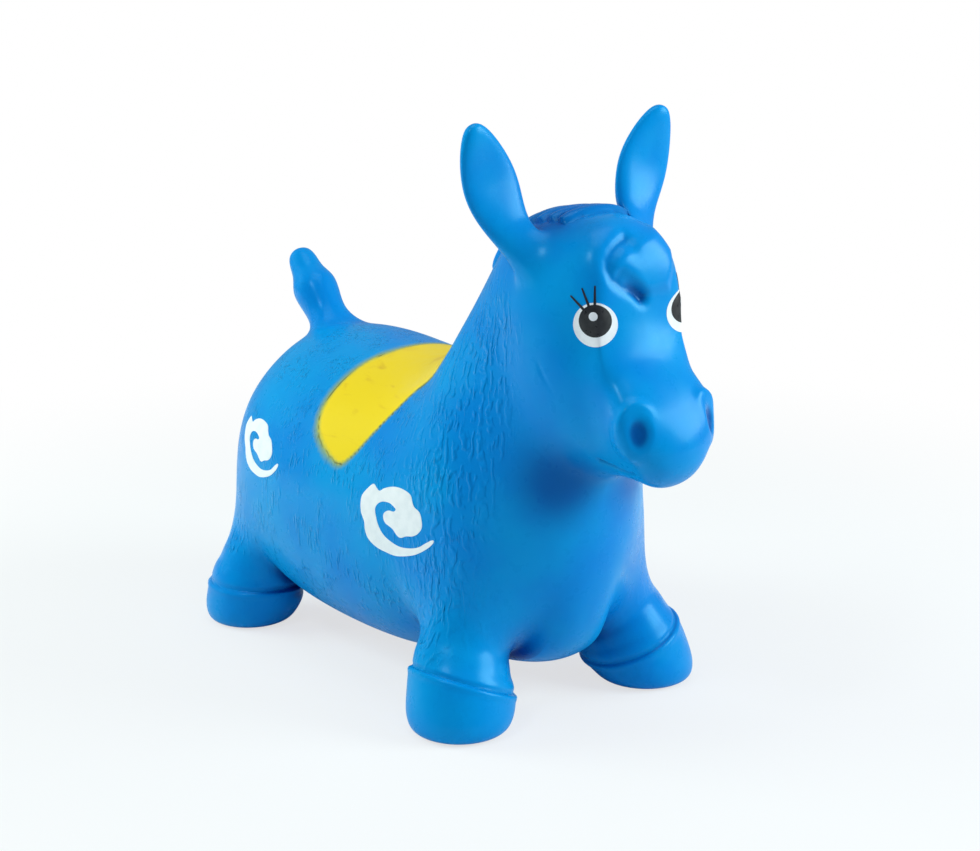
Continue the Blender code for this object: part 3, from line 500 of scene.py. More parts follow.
def leg(cage, rows, first_row, foot, zone):
    """Grow a leg from a patch of three by three faces of the trunk."""
    loop = patch_border(rows, first_row, LEG_COLUMN, 3)
    foot_x, foot_y, sole, full_lean = foot
    toe = copysign(radians(LEG_TOE_ANGLE), foot_x)
    for height, radius, lean, tilt in LEG_RING_SHARES:
        ring = []
        middle_x = foot_x - copysign(lean * full_lean, foot_x)
        middle_y = foot_y - lean * full_lean
        for step in range(len(loop)):
            turn = radians(135 - 360 / len(loop) * step)
            reach = radius * sole
            rise = height * LEG_RISE + tilt * sole * sin(turn + toe)
            point = (middle_x + reach * cos(turn), middle_y + reach * sin(turn), rise)
            ring.append(cage.verts.new(point))
        skirt(cage, loop, ring, True, zone)
        loop = ring
    corners = loop[::3]
    inner = [cage.verts.new(corners[side].co.lerp(corners[side - 2].co, 1 / 3)) for side in range(4)]
    for side in range(4):
        start = side * 3
        after = (side + 1) % 4
        face(cage, (loop[start], loop[start + 1], inner[side], loop[start - 1]), zone)
        face(cage, (loop[start + 1], loop[start + 2], inner[after], inner[side]), zone)
    face(cage, inner, zone)


def ear(cage, rows):
    """Grow a leaf-shaped ear from a patch of two by two faces of the head."""
    border = patch_border(rows, EAR_ROW, EAR_COLUMN, 2)
    loop = foot_ring(cage, border, rows[EAR_ROW + 1][EAR_COLUMN + 1], EAR_FOOT_SHARE, True, EAR)
    axis = EAR_GROWTH.normalized()
    outward = Vector((0, 1, 0))
    outward = (outward - axis * outward.dot(axis)).normalized()
    forward = outward.cross(axis)
    for place, width, depth, dish in EAR_RING_SHARES:
        middle = EAR_ROOT + EAR_GROWTH * place - Vector((EAR_BOW * sin(pi * place), 0, 0))
        ring = []
        for step in range(len(loop)):
            angle = radians(360 / len(loop) * step - 135)
            front = cos(angle) * depth
            if front > 0:
                front *= 1 - dish * abs(cos(angle))
            point = middle + forward * front * EAR_DEPTH / 2
            ring.append(cage.verts.new(point + outward * sin(angle) * width * EAR_WIDTH / 2))
        skirt(cage, loop, ring, True, EAR)
        loop = ring
    end = cage.verts.new(EAR_ROOT + EAR_GROWTH)
    for start in (0, 2, 4, 6):
        face(cage, (loop[start - 1], loop[start], loop[start + 1], end), EAR)


def tail(cage, rows):
    """Grow the tail from two faces on each side of the back line."""
    before, middle, after = rows[TAIL_ROW:TAIL_ROW + 3]
    border = [before[0], before[1], middle[1], after[1], after[0]]
    loop = foot_ring(cage, border, middle[0], TAIL_FOOT_SHARE, False, TAIL)
    forward = Vector((0, 1, 0)).cross(TAIL_GROWTH.normalized())
    for place, radius in TAIL_RING_SHARES:
        ring = []
        for step in range(5):
            angle = radians(180 - 45 * step)
            reach = radius * TAIL_RADIUS
            side = 0 if step in (0, 4) else reach * sin(angle)
            point = TAIL_ROOT + TAIL_GROWTH * place + forward * reach * cos(angle)
            ring.append(cage.verts.new(point + Vector((0, side, 0))))
        skirt(cage, loop, ring, False, TAIL)
        loop = ring
    end = cage.verts.new(TAIL_ROOT + TAIL_GROWTH)
    face(cage, (loop[0], loop[1], loop[2], end), TAIL)
    face(cage, (loop[2], loop[3], loop[4], end), TAIL)


def cage_mesh():
    """Half of the quad cage, whose open edge lies in the mirror plane."""
    cage = bmesh.new()
    rows = [[cage.verts.new(point) for point in ring] for ring in trunk_rings()]
    skipped = {(TAIL_ROW + i, 0) for i in range(2)}
    skipped |= {(EAR_ROW + i, EAR_COLUMN + j) for i in range(2) for j in range(2)}
    for first_row in (REAR_LEG_ROW, FRONT_LEG_ROW):
        skipped |= {(first_row + i, LEG_COLUMN + j) for i in range(3) for j in range(3)}
    for row in range(len(rows) - 1):
        for column in range(8):
            if (row, column) not in skipped:
                skirt(cage, rows[row][column:column + 2], rows[row + 1][column:column + 2], False, TRUNK)
    half_cap(cage, rows[0], Vector((-RUMP_BULGE, 0, 0)))
    half_cap(cage, rows[-1], Vector((NOSE_BULGE, 0, 0)))
    leg(cage, rows, REAR_LEG_ROW, REAR_FOOT, REAR_LEG)
    leg(cage, rows, FRONT_LEG_ROW, FRONT_FOOT, FRONT_LEG)
    ear(cage, rows)
    tail(cage, rows)
    loose = [vertex for vertex in cage.verts if not vertex.link_faces]
    bmesh.ops.delete(cage, geom=loose, context="VERTS")
    bmesh.ops.recalc_face_normals(cage, faces=cage.faces)
    mesh = bpy.data.meshes.new("cage")
    cage.to_mesh(mesh)
    cage.free()
    return mesh


# Meshes as arrays


def node(name, data):
    thing = bpy.data.objects.new(name, data)
    bpy.context.scene.collection.objects.link(thing)
    return thing


def read(items, key, width, kind=float):
    """One property of all items as an array with a row for each."""
    values = np.empty(len(items) * width, kind)
    items.foreach_get(key, values)
    return values.reshape(-1, width)


def whole_skin():
    """Places, quads and the quads' zones of the cage, mirrored and subdivided."""
    thing = node("cage", cage_mesh())
    mirror = thing.modifiers.new("Mirror", "MIRROR")
    mirror.use_axis = (False, True, False)
    mirror.merge_threshold = MERGE_DISTANCE
    smooth = thing.modifiers.new("Subdivision", "SUBSURF")
    smooth.levels = SKIN_LEVELS
    shape = thing.evaluated_get(bpy.context.evaluated_depsgraph_get()).to_mesh()
    places = read(shape.vertices, "co", 3)
    quads = read(shape.loops, "vertex_index", 1, np.int32)
    zones = read(shape.polygons, "material_index", 1, np.int32)
    bpy.data.objects.remove(thing, do_unlink=True)
    return places, quads.reshape(-1, 4), zones.ravel()


def array_mesh(name, places, faces):
    mesh = bpy.data.meshes.new(name)
    mesh.from_pydata(places, [], faces)
    mesh.shade_smooth()
    return mesh


def normals_of(places, faces):
    mesh = array_mesh("measured", places, faces)
    normals = read(mesh.vertex_normals, "vector", 3)
    bpy.data.meshes.remove(mesh)
    return normals


def store(mesh, name, values):
    """Keep a number or a vector for each vertex, for the materials to read."""
    kind, key = ("FLOAT_VECTOR", "vector") if values.ndim == 2 else ("FLOAT", "value")
    mesh.attributes.new(name, kind, "POINT").data.foreach_set(key, values.astype(np.float32).ravel())


# Shapes laid on the skin


def smoothstep(value):
    share = np.clip(value, 0, 1)
    return share * share * (3 - 2 * share)


def ramp(value, start, length):
    """A soft rise from nothing at the start to one after the length."""
    return smoothstep((value - start) / length)


def lengths(rows):
    return np.linalg.norm(rows, axis=1)


def line_distance(places, line):
    """Distance of each place from an open line of points, in two or three dimensions."""
    nearest = np.full(len(places), np.inf)
    for start, end in zip(line, line[1:]):
        start, along = np.array(start), np.array(end) - np.array(start)
        share = np.clip((places - start) @ along / (along @ along), 0, 1)
        nearest = np.minimum(nearest, lengths(places - start - share[:, None] * along))
    return nearest


def inside(places, outline):
    """Which places lie within a closed outline in the plane."""
    odd = np.zeros(len(places), bool)
    for start, end in zip(outline, [*outline[1:], outline[0]]):
        crosses = (start[1] > places[:, 1]) != (end[1] > places[:, 1])
        if crosses.any():
            share = (places[:, 1] - start[1]) / (end[1] - start[1])
            odd ^= crosses & (places[:, 0] < start[0] + share * (end[0] - start[0]))
    return odd


def smooth_outline(points):
    """A closed curve through the points."""
    count = len(points)
    outline = []
    for index in range(count):
        before, start, end, after = (Vector(points[(index + shift) % count]) for shift in (-1, 0, 1, 2))
        leaving, arriving = (end - before) / 2, (after - start) / 2
        for step in range(CURVE_STEPS):
            part = step / CURVE_STEPS
            bend = leaving * part * (1 - part) ** 2 - arriving * part ** 2 * (1 - part)
            outline.append(start.lerp(end, part ** 2 * (3 - 2 * part)) + bend)
    return [tuple(point) for point in outline]


def bell(distance, reach):
    """One at no distance, falling softly to nothing at about twice the reach."""
    return np.exp(-(distance / reach) ** 2)


def dent(distance, shape):
    """A soft dent, given as its depth and its reach."""
    depth, reach = shape
    return depth * bell(distance, reach)


def on_side(point, side):
    """A point of the left side, or the same one of the right side for a side of -1."""
    return point[0], side * point[1], point[2]


def saddle_reach(places):
    """How far inside the saddle's outline each place lies, seen from the side, and negative outside."""
    outline = smooth_outline(SADDLE_OUTLINE)
    flat = places[:, (0, 2)]
    reach = line_distance(flat, [*outline, outline[0]])
    return np.where(inside(flat, outline), reach, -reach)


def band_height(places, front):
    """Height of each place over its hoof band."""
    foot, band = (FRONT_FOOT, FRONT_BAND) if front else (REAR_FOOT, REAR_BAND)
    toe = 1 if front else -1
    x, y, z = places.T
    return z - band[0] - band[1] * (np.abs(y) - foot[1]) - band[2] * toe * (x - foot[0])


def mane_rise(places):
    x, y, z = places.T
    rise = np.zeros(len(places))
    for middle in np.linspace(MANE_START_X, MANE_END_X, MANE_LOBES):
        reach = ((x - middle) / MANE_LOBE_RADII[0]) ** 2 + (y / MANE_LOBE_RADII[1]) ** 2
        rise = np.maximum(rise, np.sqrt(np.clip(1 - reach, 0, 1)))
    return MANE_RISE * rise * (z > MANE_LEAST_HEIGHT)


def mane_band(places):
    """Share of the ridge's painted shade: one on the ridge of the mane, nothing beyond its lobes."""
    x, y, z = places.T
    across = 1 - ramp(np.abs(y) / MANE_LOBE_RADII[1], *MANE_SIDE_SHARES)
    along = ramp(x, MANE_START_X, MANE_END_FADE) * (1 - ramp(x, MANE_END_X, MANE_END_FADE))
    return across * along * (z > MANE_LEAST_HEIGHT)


def forelock_rise(places):
    flat = places[:, 1:]
    edge = line_distance(flat, FORELOCK_EDGE)
    within = inside(flat, [*FORELOCK_EDGE, *FORELOCK_FAR])
    rim = line_distance(flat, [*FORELOCK_EDGE, *FORELOCK_FAR, FORELOCK_EDGE[0]])
    rise = FORELOCK_RISE * smoothstep(rim / FORELOCK_SHOULDER) * within
    rise -= dent(edge, FORELOCK_EDGE_DENT)
    rise -= dent(line_distance(flat, FORELOCK_GROOVE), FORELOCK_GROOVE_DENT)
    rise -= dent(lengths(flat - FORELOCK_PIT), FORELOCK_PIT_DENT)
    return rise * ramp(places[:, 0], *FORELOCK_START)


def flat_frame(normal):
    """Two directions across and up a surface that faces along the normal."""
    across = Vector((0, 0, 1)).cross(normal).normalized()
    return across, normal.cross(across)


def nostril_rise(places, normals, side):
    """A bowl with a raised rim behind and above it."""
    away = places - on_side(NOSTRIL, side)
    squared = (away ** 2).sum(1)
    across, up = flat_frame(Vector(normals[np.argmin(squared)]))
    forward = -side * (away @ np.array(across)) / NOSTRIL_RADII[0]
    upward = away @ np.array(up) / NOSTRIL_RADII[1]
    reach = np.hypot(forward, upward)
    bowl = NOSTRIL_DEPTH * (1 - ramp(reach, *NOSTRIL_WALL_SHARES))
    ahead = forward * NOSTRIL_OPEN_SHARES[0] - upward * NOSTRIL_OPEN_SHARES[1]
    ahead /= np.maximum(reach, NOSTRIL_LEAST_REACH)
    closed = smoothstep(NOSTRIL_OPEN_FADE[0] - NOSTRIL_OPEN_FADE[1] * ahead)
    rim = NOSTRIL_RIM * closed * bell(reach - NOSTRIL_RIM_SHARES[0], NOSTRIL_RIM_SHARES[1])
    return (rim - bowl) * (squared < NOSTRIL_SPREAD ** 2)


def mirrored(places):
    """The same places, brought to the left side."""
    x, y, z = places.T
    return np.stack((x, np.abs(y), z), 1)


def swell_rise(places):
    folded = mirrored(places)
    rise = np.zeros(len(places))
    for middle, reach, height in SWELLS:
        rise += height * bell(lengths(folded - middle), reach)
    return rise


def hoof_rise(places, front):
    """Rim and groove of a hoof band, and the hoof below it, which stands out a little."""
    above = band_height(places, front)
    rim = bell(above + BAND_RIM[0], BAND_RIM[1])
    groove = bell(above - BAND_GROOVE[0], BAND_GROOVE[1])
    hoof = smoothstep(-above / BAND_STEP) * smoothstep(places[:, 2] / SOLE_ROUNDING)
    return BAND_RISE * (BAND_RIM_SHARE * (rim - groove) + BAND_HOOF_SHARE * hoof)


def relief(places, normals, zones_of):
    """How far the mould's relief stands out along the normals."""
    trunk = zones_of == TRUNK
    rise = trunk * (mane_rise(places) + forelock_rise(places))
    for side in (-1, 1):
        rise += trunk * nostril_rise(places, normals, side)
        eye = lengths(places - on_side(EYE, side)) / EYE_WHITE_RADIUS
        rise += EYE_BULGE * (1 - ramp(eye, *EYE_DOME_SHARES))
        cheek = line_distance(places, [on_side(point, side) for point in CHEEK_LINE])
        rise -= dent(cheek, CHEEK_DENT)
    rise -= trunk * dent(line_distance(places[:, (0, 2)], MOUTH_LINE), MOUTH_DENT)
    rise += trunk * SADDLE_RAISE * smoothstep(saddle_reach(places) / SADDLE_STEP + 0.5)
    for zone in (FRONT_LEG, REAR_LEG):
        rise += (zones_of == zone) * hoof_rise(places, zone == FRONT_LEG)
    return rise


def moulded_line(places, zones_of):
    """Distance from the nearest fine line of the mould: saddle seam, mouth or hoof band."""
    seam = np.abs(saddle_reach(places) + SADDLE_SEAM_REACH)
    mouth = line_distance(places[:, (0, 2)], MOUTH_LINE)
    reach = np.where(zones_of == TRUNK, np.minimum(seam, mouth), 1)
    for zone in (FRONT_LEG, REAR_LEG):
        reach = np.where(zones_of == zone, np.abs(band_height(places, zone == FRONT_LEG)), reach)
    return reach


def fur_share(places, zones_of):
    """Where the mould has fur: the barrel, the neck and the upper legs, fading out towards head and feet."""
    x, _, z = places.T
    past_end = (x - FUR_END[0]) * FUR_END_WAY[0] + (z - FUR_END[1]) * FUR_END_WAY[1]
    share = (1 - smoothstep(past_end / FUR_END_FADE + 0.5)) * ramp(z, *FUR_LOW_FADE)
    return np.where((zones_of == EAR) | (zones_of == TAIL), 0, share * (1 - ramp(z, *FUR_HIGH_FADE)))


# Materials


def add(tree, kind, inputs, **settings):
    """A shader node with its settings, and its inputs given as numbers or linked from other nodes."""
    made = tree.nodes.new("ShaderNode" + kind)
    for key, value in settings.items():
        setattr(made, key, value)
    for key, value in inputs.items():
        if isinstance(value, bpy.types.NodeSocket):
            tree.links.new(value, made.inputs[key])
        else:
            made.inputs[key].default_value = value
    return made


def calculate(tree, operation, first, second):
    return add(tree, "Math", {0: first, 1: second}, operation=operation).outputs[0]


def product(tree, first, *others):
    for other in others:
        first = calculate(tree, "MULTIPLY", first, other)
    return first


def noise(tree, place, scale, detail, distortion=0.0):
    inputs = {"Vector": place, "Scale": scale, "Detail": detail, "Distortion": distortion}
    return add(tree, "TexNoise", inputs).outputs["Fac"]


def between(tree, value, span, low=0.0, high=1.0):
    """The value, read smoothly over its span as low to high."""
    inputs = {"Value": value, "From Min": span[0], "From Max": span[1], "To Min": low, "To Max": high}
    return add(tree, "MapRange", inputs, interpolation_type="SMOOTHSTEP").outputs[0]


def blended(tree, share, first, second):
    """A colour between two, each a socket or a linear colour."""
    first, second = ((*c, 1) if isinstance(c, tuple) else c for c in (first, second))
    return add(tree, "Mix", {0: share, 6: first, 7: second}, data_type="RGBA").outputs[2]


def attribute(tree, name, output="Fac"):
    return add(tree, "Attribute", {}, attribute_name=name).outputs[output]


def spots(tree, place, texture, low=0.0, high=1.0):
    """Noise, read over its span as low to high."""
    scale, detail, start, end = texture
    return between(tree, noise(tree, place, scale, detail), (start, end), low, high)


def stretched(tree, place, turn, scale):
    """The place, turned about Y and stretched, so that a texture runs along one direction."""
    inputs = {"Vector": place, "Rotation": (0, radians(turn), 0), "Scale": scale}
    return add(tree, "Mapping", inputs).outputs[0]


def dashes(tree, place, texture):
    """Noise stretched along one direction, read over its span."""
    turn, scales, detail, distortion, start, end = texture
    made = noise(tree, stretched(tree, place, turn, scales), 1.0, detail, distortion)
    return between(tree, made, (start, end))


def bump(tree, height, shape, normal=None):
    """A bump of a height, given its depth and strength, on top of another bump."""
    inputs = {"Height": height, "Distance": shape[0], "Strength": shape[1]}
    if normal:
        inputs["Normal"] = normal
    return add(tree, "Bump", inputs).outputs[0]


def along_x(tree, place, span, low=0.0, high=1.0):
    return between(tree, add(tree, "SeparateXYZ", {0: place}).outputs[0], span, low, high)


def new_material(name):
    """A new material, its node tree and its shader."""
    material = bpy.data.materials.new(name)
    material.use_nodes = True
    return material, material.node_tree, material.node_tree.nodes["Principled BSDF"]


def dress_shader(tree, shader, gloss, colour, rough, normal):
    for key, value in gloss.items():
        shader.inputs[key].default_value = value
    for key, socket in (("Base Color", colour), ("Roughness", rough), ("Normal", normal)):
        tree.links.new(socket, shader.inputs[key])


def grain(tree, place):
    return bump(tree, noise(tree, place, *GRAIN), GRAIN_BUMP)


def chest_waves(tree, place):
    """Wavy upright ridges on neck and chest, broken here and there."""
    inputs = {"Vector": stretched(tree, place, WAVE_TURN, WAVE_STRETCH), **WAVES}
    wave = add(tree, "TexWave", inputs, wave_type="BANDS", bands_direction="X").outputs["Fac"]
    chest = along_x(tree, place, CHEST_RANGE)
    return product(tree, between(tree, wave, WAVE_RANGE), spots(tree, place, WAVE_BREAKS), chest)


def skin_relief(tree, place, painted):
    """Grain, fur strokes, waves and the fine lines of the mould, as one bump."""
    fur = attribute(tree, "fur")
    if painted:
        fur = product(tree, fur, between(tree, attribute(tree, "paint_reach"), FUR_CLEARANCE, 1, 0))
    strokes = product(tree, dashes(tree, place, STROKES), spots(tree, place, FUR_PATCHES), fur)
    normal = bump(tree, strokes, STROKE_BUMP, grain(tree, place))
    normal = bump(tree, product(tree, chest_waves(tree, place), fur), WAVE_BUMP, normal)
    return bump(tree, between(tree, attribute(tree, "moulded_line"), LINE_SPAN), LINE_BUMP, normal)


def skin_blue(tree, place):
    """Blue with faint clouding, and painted shade in dents, on the mane's ridge, below the jaw and where the
    skin faces itself.
    """
    colour = blended(tree, spots(tree, place, SKIN_CLOUDS), BLUE_DEEP, BLUE_BRIGHT)
    # Painted shade: the blue darkens towards BLUE_SHADED where the skin faces itself and where the painted
    # shade mask is high
    reach = {"Distance": SHADE_REACH}
    openness = add(tree, "AmbientOcclusion", reach, samples=SHADE_RAYS, only_local=True).outputs["AO"]
    recess = between(tree, attribute(tree, "recess"), (0, 1), 1, PAINTED_SHADE_OPEN_SHARE)
    open_share = product(tree, between(tree, openness, SHADE_RANGE), recess)
    return blended(tree, open_share, BLUE_SHADED, colour)


def sprayed(tree, place, colour):
    """Yellow sprayed over a colour, with a speckled olive mist and the seam, and how solid it is."""
    speckle = calculate(tree, "SUBTRACT", noise(tree, place, *SPECKLE), 0.5)
    speckle = product(tree, speckle, SPECKLE_REACH)
    reach = calculate(tree, "ADD", attribute(tree, "paint_reach"), speckle)
    reach = calculate(tree, "DIVIDE", reach, along_x(tree, place, MIST_NARROWING, 1.0, MIST_NARROW_SHARE))
    yellow = blended(tree, dashes(tree, place, STREAKS), YELLOW_BRIGHT, YELLOW_DEEP)
    mist = product(tree, between(tree, reach, MIST_RANGE), MIST_SHARE)
    solid = between(tree, reach, SOLID_RANGE)
    colour = blended(tree, solid, blended(tree, mist, colour, OLIVE_MIST), yellow)
    seam = between(tree, attribute(tree, "moulded_line"), SEAM_RANGE, SEAM_SHARE, 0.0)
    return blended(tree, seam, colour, SADDLE_SEAM), solid


def vinyl(name, painted):
    """Glossy blue vinyl, and the saddle's paint over it where painted."""
    material, tree, shader = new_material(name)
    place = attribute(tree, "rest_place", "Vector")
    colour = skin_blue(tree, place)
    rough = spots(tree, place, SKIN_SCUFFS, *SKIN_ROUGHNESS)
    if painted:
        colour, solid = sprayed(tree, place, colour)
        rough = calculate(tree, "ADD", rough, product(tree, solid, PAINT_ROUGHNESS))
    dress_shader(tree, shader, SKIN_GLOSS, colour, rough, skin_relief(tree, place, painted))
    return material


def ink(name, colour, blotch, roughness):
    """Printed ink: an even colour with faint blotches and the grain of the vinyl below."""
    material, tree, shader = new_material(name)
    place = attribute(tree, "rest_place", "Vector")
    mixed = blended(tree, spots(tree, place, INK_BLOTCHES), colour, blotch)
    rough = spots(tree, place, INK_DRYNESS, *roughness)
    dress_shader(tree, shader, INK_GLOSS, mixed, rough, grain(tree, place))
    return material


def hard_vinyl(name):
    """Deeper blue plastic of the valve, with fine turning marks and scuffs."""
    material, tree, shader = new_material(name)
    place = add(tree, "TexCoord", {}).outputs["Object"]
    colour = blended(tree, spots(tree, place, VALVE_CLOUDS), VALVE_DEEP, VALVE_BRIGHT)
    rough = spots(tree, place, VALVE_SCUFFS, *VALVE_ROUGHNESS)
    turning = bump(tree, noise(tree, place, *TURNING), TURNING_BUMP)
    dress_shader(tree, shader, {}, colour, rough, turning)
    return material


# Pieces


def skin_piece(name, faces, skin, material):
    """An object of some faces of the skin, with the whole skin's normals so that no seam shows."""
    used, flat = np.unique(faces, return_inverse=True)
    mesh = array_mesh(name, skin["places"][used], flat.reshape(faces.shape))
    mesh.normals_split_custom_set_from_vertices(skin["normals"][used])
    store(mesh, "rest_place", skin["places"][used])
    for key in ("moulded_line", "fur", "recess"):
        store(mesh, key, skin[key][used])
    mesh.materials.append(material)
    return node(name, mesh)


def limb_piece(name, zone, side, skin, material):
    """A limb's piece of the skin, from its border with the trunk on. A side of 0 takes both sides."""
    quads, zones, places = skin["quads"], skin["zones"], skin["places"]
    chosen = side * places[quads].mean(1)[:, 1] > 0 if side else True
    faces = quads[(zones == zone) & chosen]
    piece = skin_piece(name, faces, skin, material)
    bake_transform(piece)
    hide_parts(name.replace("_skin", ""))


def trunk_piece(skin, material):
    """Torso, neck and head in one, open where the valve sits."""
    faces = skin["quads"][skin["zones"] == TRUNK]
    centres = skin["places"][faces].mean(1)
    from_valve = np.hypot(centres[:, 1], centres[:, 2] - VALVE_HEIGHT)
    faces = faces[(from_valve > VALVE_OPENING) | (centres[:, 0] > 0)]
    piece = skin_piece("trunk_skin", faces, skin, material)
    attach(piece, "root")
    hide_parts("torso_skin", "neck_skin", "head_skin")


def saddle_piece(skin):
    """The painted part of the back with a margin of overspray, lifted a little from the skin."""
    faces = skin["quads"][skin["zones"] == TRUNK]
    reach = saddle_reach(skin["places"])
    high = skin["places"][faces][:, :, 2].min(1) > SADDLE_LOWEST - SADDLE_MARGIN
    faces = faces[(reach[faces].min(1) > -SADDLE_MARGIN) & high]
    used = np.unique(faces)
    lifted = dict(skin)
    lift = COAT_LIFT * (COAT_EDGE_SHARE + (1 - COAT_EDGE_SHARE) * smoothstep(reach / SADDLE_MARGIN + 1))
    lifted["places"] = skin["places"] + skin["normals"] * lift[:, None]
    piece = skin_piece("saddle_coat", faces, lifted, vinyl("saddle_paint", True))
    store(piece.data, "paint_reach", reach[used])
    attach(piece, "root")
    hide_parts("saddle_paint")


def even_outline(outline, step):
    """A closed outline with points no further apart than the step."""
    points = []
    for start, end in zip(outline, [*outline[1:], outline[0]]):
        start, end = Vector(start), Vector(end)
        count = max(1, ceil((end - start).length / step))
        points += [start.lerp(end, number / count) for number in range(count)]
    return points


def filled(outline, step):
    """Points and triangles of an outline filled with a net of the given step."""
    border = even_outline(outline, step)
    line = [tuple(point) for point in border]
    axes = [np.arange(min(values), max(values), step) for values in zip(*line)]
    grid = np.stack(np.meshgrid(*axes), -1).reshape(-1, 2)
    clear = inside(grid, line) & (line_distance(grid, [*line, line[0]]) > step / 2)
    points = border + [Vector(point) for point in grid[clear]]
    made = delaunay_2d_cdt(points, [], [list(range(len(border)))], 1, NET_TOLERANCE)
    return made[0], made[2]


def thrown_on(points, plane, skin):
    """Where points of a drawing plane meet the skin, and the skin's normals there."""
    place, across, up = plane
    normal = across.cross(up)
    hits, facings = [], []
    for point in points:
        start = place + across * point[0] + up * point[1] + normal * FILM_REACH
        hit, _, index, _ = skin["tree"].ray_cast(start, -normal)
        corners = skin["quads"][index]
        weights = poly_3d_calc([Vector(skin["places"][corner]) for corner in corners], hit)
        hits.append(hit)
        facings.append(Vector(np.array(weights) @ skin["normals"][corners]).normalized())
    return hits, facings


def film_faces(triangles, count):
    """Both sides of a net of triangles and the rim between them."""
    edges = dict.fromkeys(pair for a, b, c in triangles for pair in ((a, b), (b, c), (c, a)))
    faces = [tuple(triangle) for triangle in triangles]
    faces += [tuple(corner + count for corner in reversed(triangle)) for triangle in triangles]
    faces += [(end, start, start + count, end + count) for start, end in edges if (end, start) not in edges]
    return faces


def film_piece(name, outline, step, plane, coats, skin, material):
    """A thin closed coat on the skin, over a number of coats below it."""
    points, triangles = filled(outline, step)
    hits, facings = thrown_on(points, plane, skin)
    lift = COAT_LIFT + coats * COAT_STEP
    places = [hit + facing * lift for hit, facing in zip(hits, facings)]
    places += [hit - facing * COAT_ROOT for hit, facing in zip(hits, facings)]
    mesh = array_mesh(name, places, film_faces(triangles, len(points)))
    mesh.normals_split_custom_set_from_vertices(facings + [-facing for facing in facings])
    store(mesh, "rest_place", np.array(places))
    mesh.materials.append(material)
    piece = node(name, mesh)
    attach(piece, "root")
    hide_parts(name.replace("_coat", ""))


def circle(radius, middle):
    turns = np.linspace(0, 2 * pi, CIRCLE_SIDES, endpoint=False)
    return [(middle[0] + radius * cos(turn), middle[1] + radius * sin(turn)) for turn in turns]


def lash_outline(angle, side):
    """A tapering stroke with a blunt point, from the rim of the pupil outwards."""
    turn = radians(angle)
    along = Vector((side * cos(turn), sin(turn)))
    beside = Vector((-along.y, along.x)) * LASH_WIDTH / 2 * side
    start = along * LASH_START + Vector((0, PUPIL_RISE))
    end = start + along * LASH_LENGTH
    tip = beside * LASH_TIP_SHARE
    outline = [start - beside, end - tip, end + along * LASH_WIDTH / 3, end + tip, start + beside]
    return [tuple(point) for point in (outline if side > 0 else reversed(outline))]


def eye_pieces(skin, white, black):
    yaw, pitch = radians(EYE_YAW), radians(EYE_PITCH)
    for hand, side in HANDS:
        ahead = (cos(yaw) * cos(pitch), sin(yaw) * cos(pitch), sin(pitch))
        plane = (Vector(on_side(EYE, side)), *flat_frame(Vector(on_side(ahead, side))))
        whole = circle(EYE_WHITE_RADIUS, (0, 0))
        film_piece(f"eye_white_{hand}_coat", whole, EYE_NET, plane, 0, skin, white)
        pupil = circle(PUPIL_RADIUS, (0, PUPIL_RISE))
        film_piece(f"pupil_{hand}_coat", pupil, EYE_NET, plane, 1, skin, black)
        glint = circle(GLINT_RADIUS, (-side * GLINT_FORWARD, PUPIL_RISE + GLINT_RISE))
        film_piece(f"glint_{hand}_coat", glint, GLINT_NET, plane, 2, skin, white)
        for number, angle in enumerate(LASH_ANGLES, 1):
            lash = lash_outline(angle, side)
            film_piece(f"lash_{number}_{hand}_coat", lash, LASH_NET, plane, 1, skin, black)


def print_pieces(skin, white):
    for place, (middle, right, top) in (("flank", FLANK_PRINT), ("haunch", HAUNCH_PRINT)):
        outline = (np.array(smooth_outline(CLOUD_SHARES)) - 0.5) @ np.array((right, top))
        for hand, side in HANDS:
            # Seen from its own side, so that the net always faces out
            flipped = [(-side * x, z) for x, z in outline]
            plane = (Vector((middle[0], 0, middle[1])), Vector((-side, 0, 0)), Vector((0, 0, 1)))
            film_piece(f"{place}_print_{hand}_coat", flipped, PRINT_NET, plane, 0, skin, white)


# Stage


def camera():
    """The photograph's camera, and its directions backwards, to the right and up."""
    turn, rise = radians(CAMERA_TURN), radians(CAMERA_RISE)
    back = Vector((sin(turn) * cos(rise), -cos(turn) * cos(rise), sin(rise)))
    right = Vector((cos(turn), sin(turn), 0))
    up = back.cross(right)
    seen = node("camera", bpy.data.cameras.new("camera"))
    seen.data.lens = CAMERA_LENS
    facing = Matrix((right, up, back)).transposed().to_4x4()
    seen.matrix_world = Matrix.Translation(CAMERA_AIM + back * CAMERA_DISTANCE) @ facing
    bpy.context.scene.camera = seen
    return back, right, up


def lamp(name, place, size, power, colour, in_gloss):
    """A square soft light that faces the object."""
    light = node(name, bpy.data.lights.new(name, "AREA"))
    light.data.size = size
    light.data.energy = power
    light.data.color = colour
    light.location = place
    light.rotation_mode = "QUATERNION"
    light.rotation_quaternion = (place - CAMERA_AIM).to_track_quat("Z", "Y")
    light.visible_glossy = in_gloss


def seen_share(tree):
    """One for what the camera sees, straight or through something clear."""
    path = add(tree, "LightPath", {})
    return calculate(tree, "MAXIMUM", path.outputs["Is Camera Ray"], path.outputs["Is Transmission Ray"])


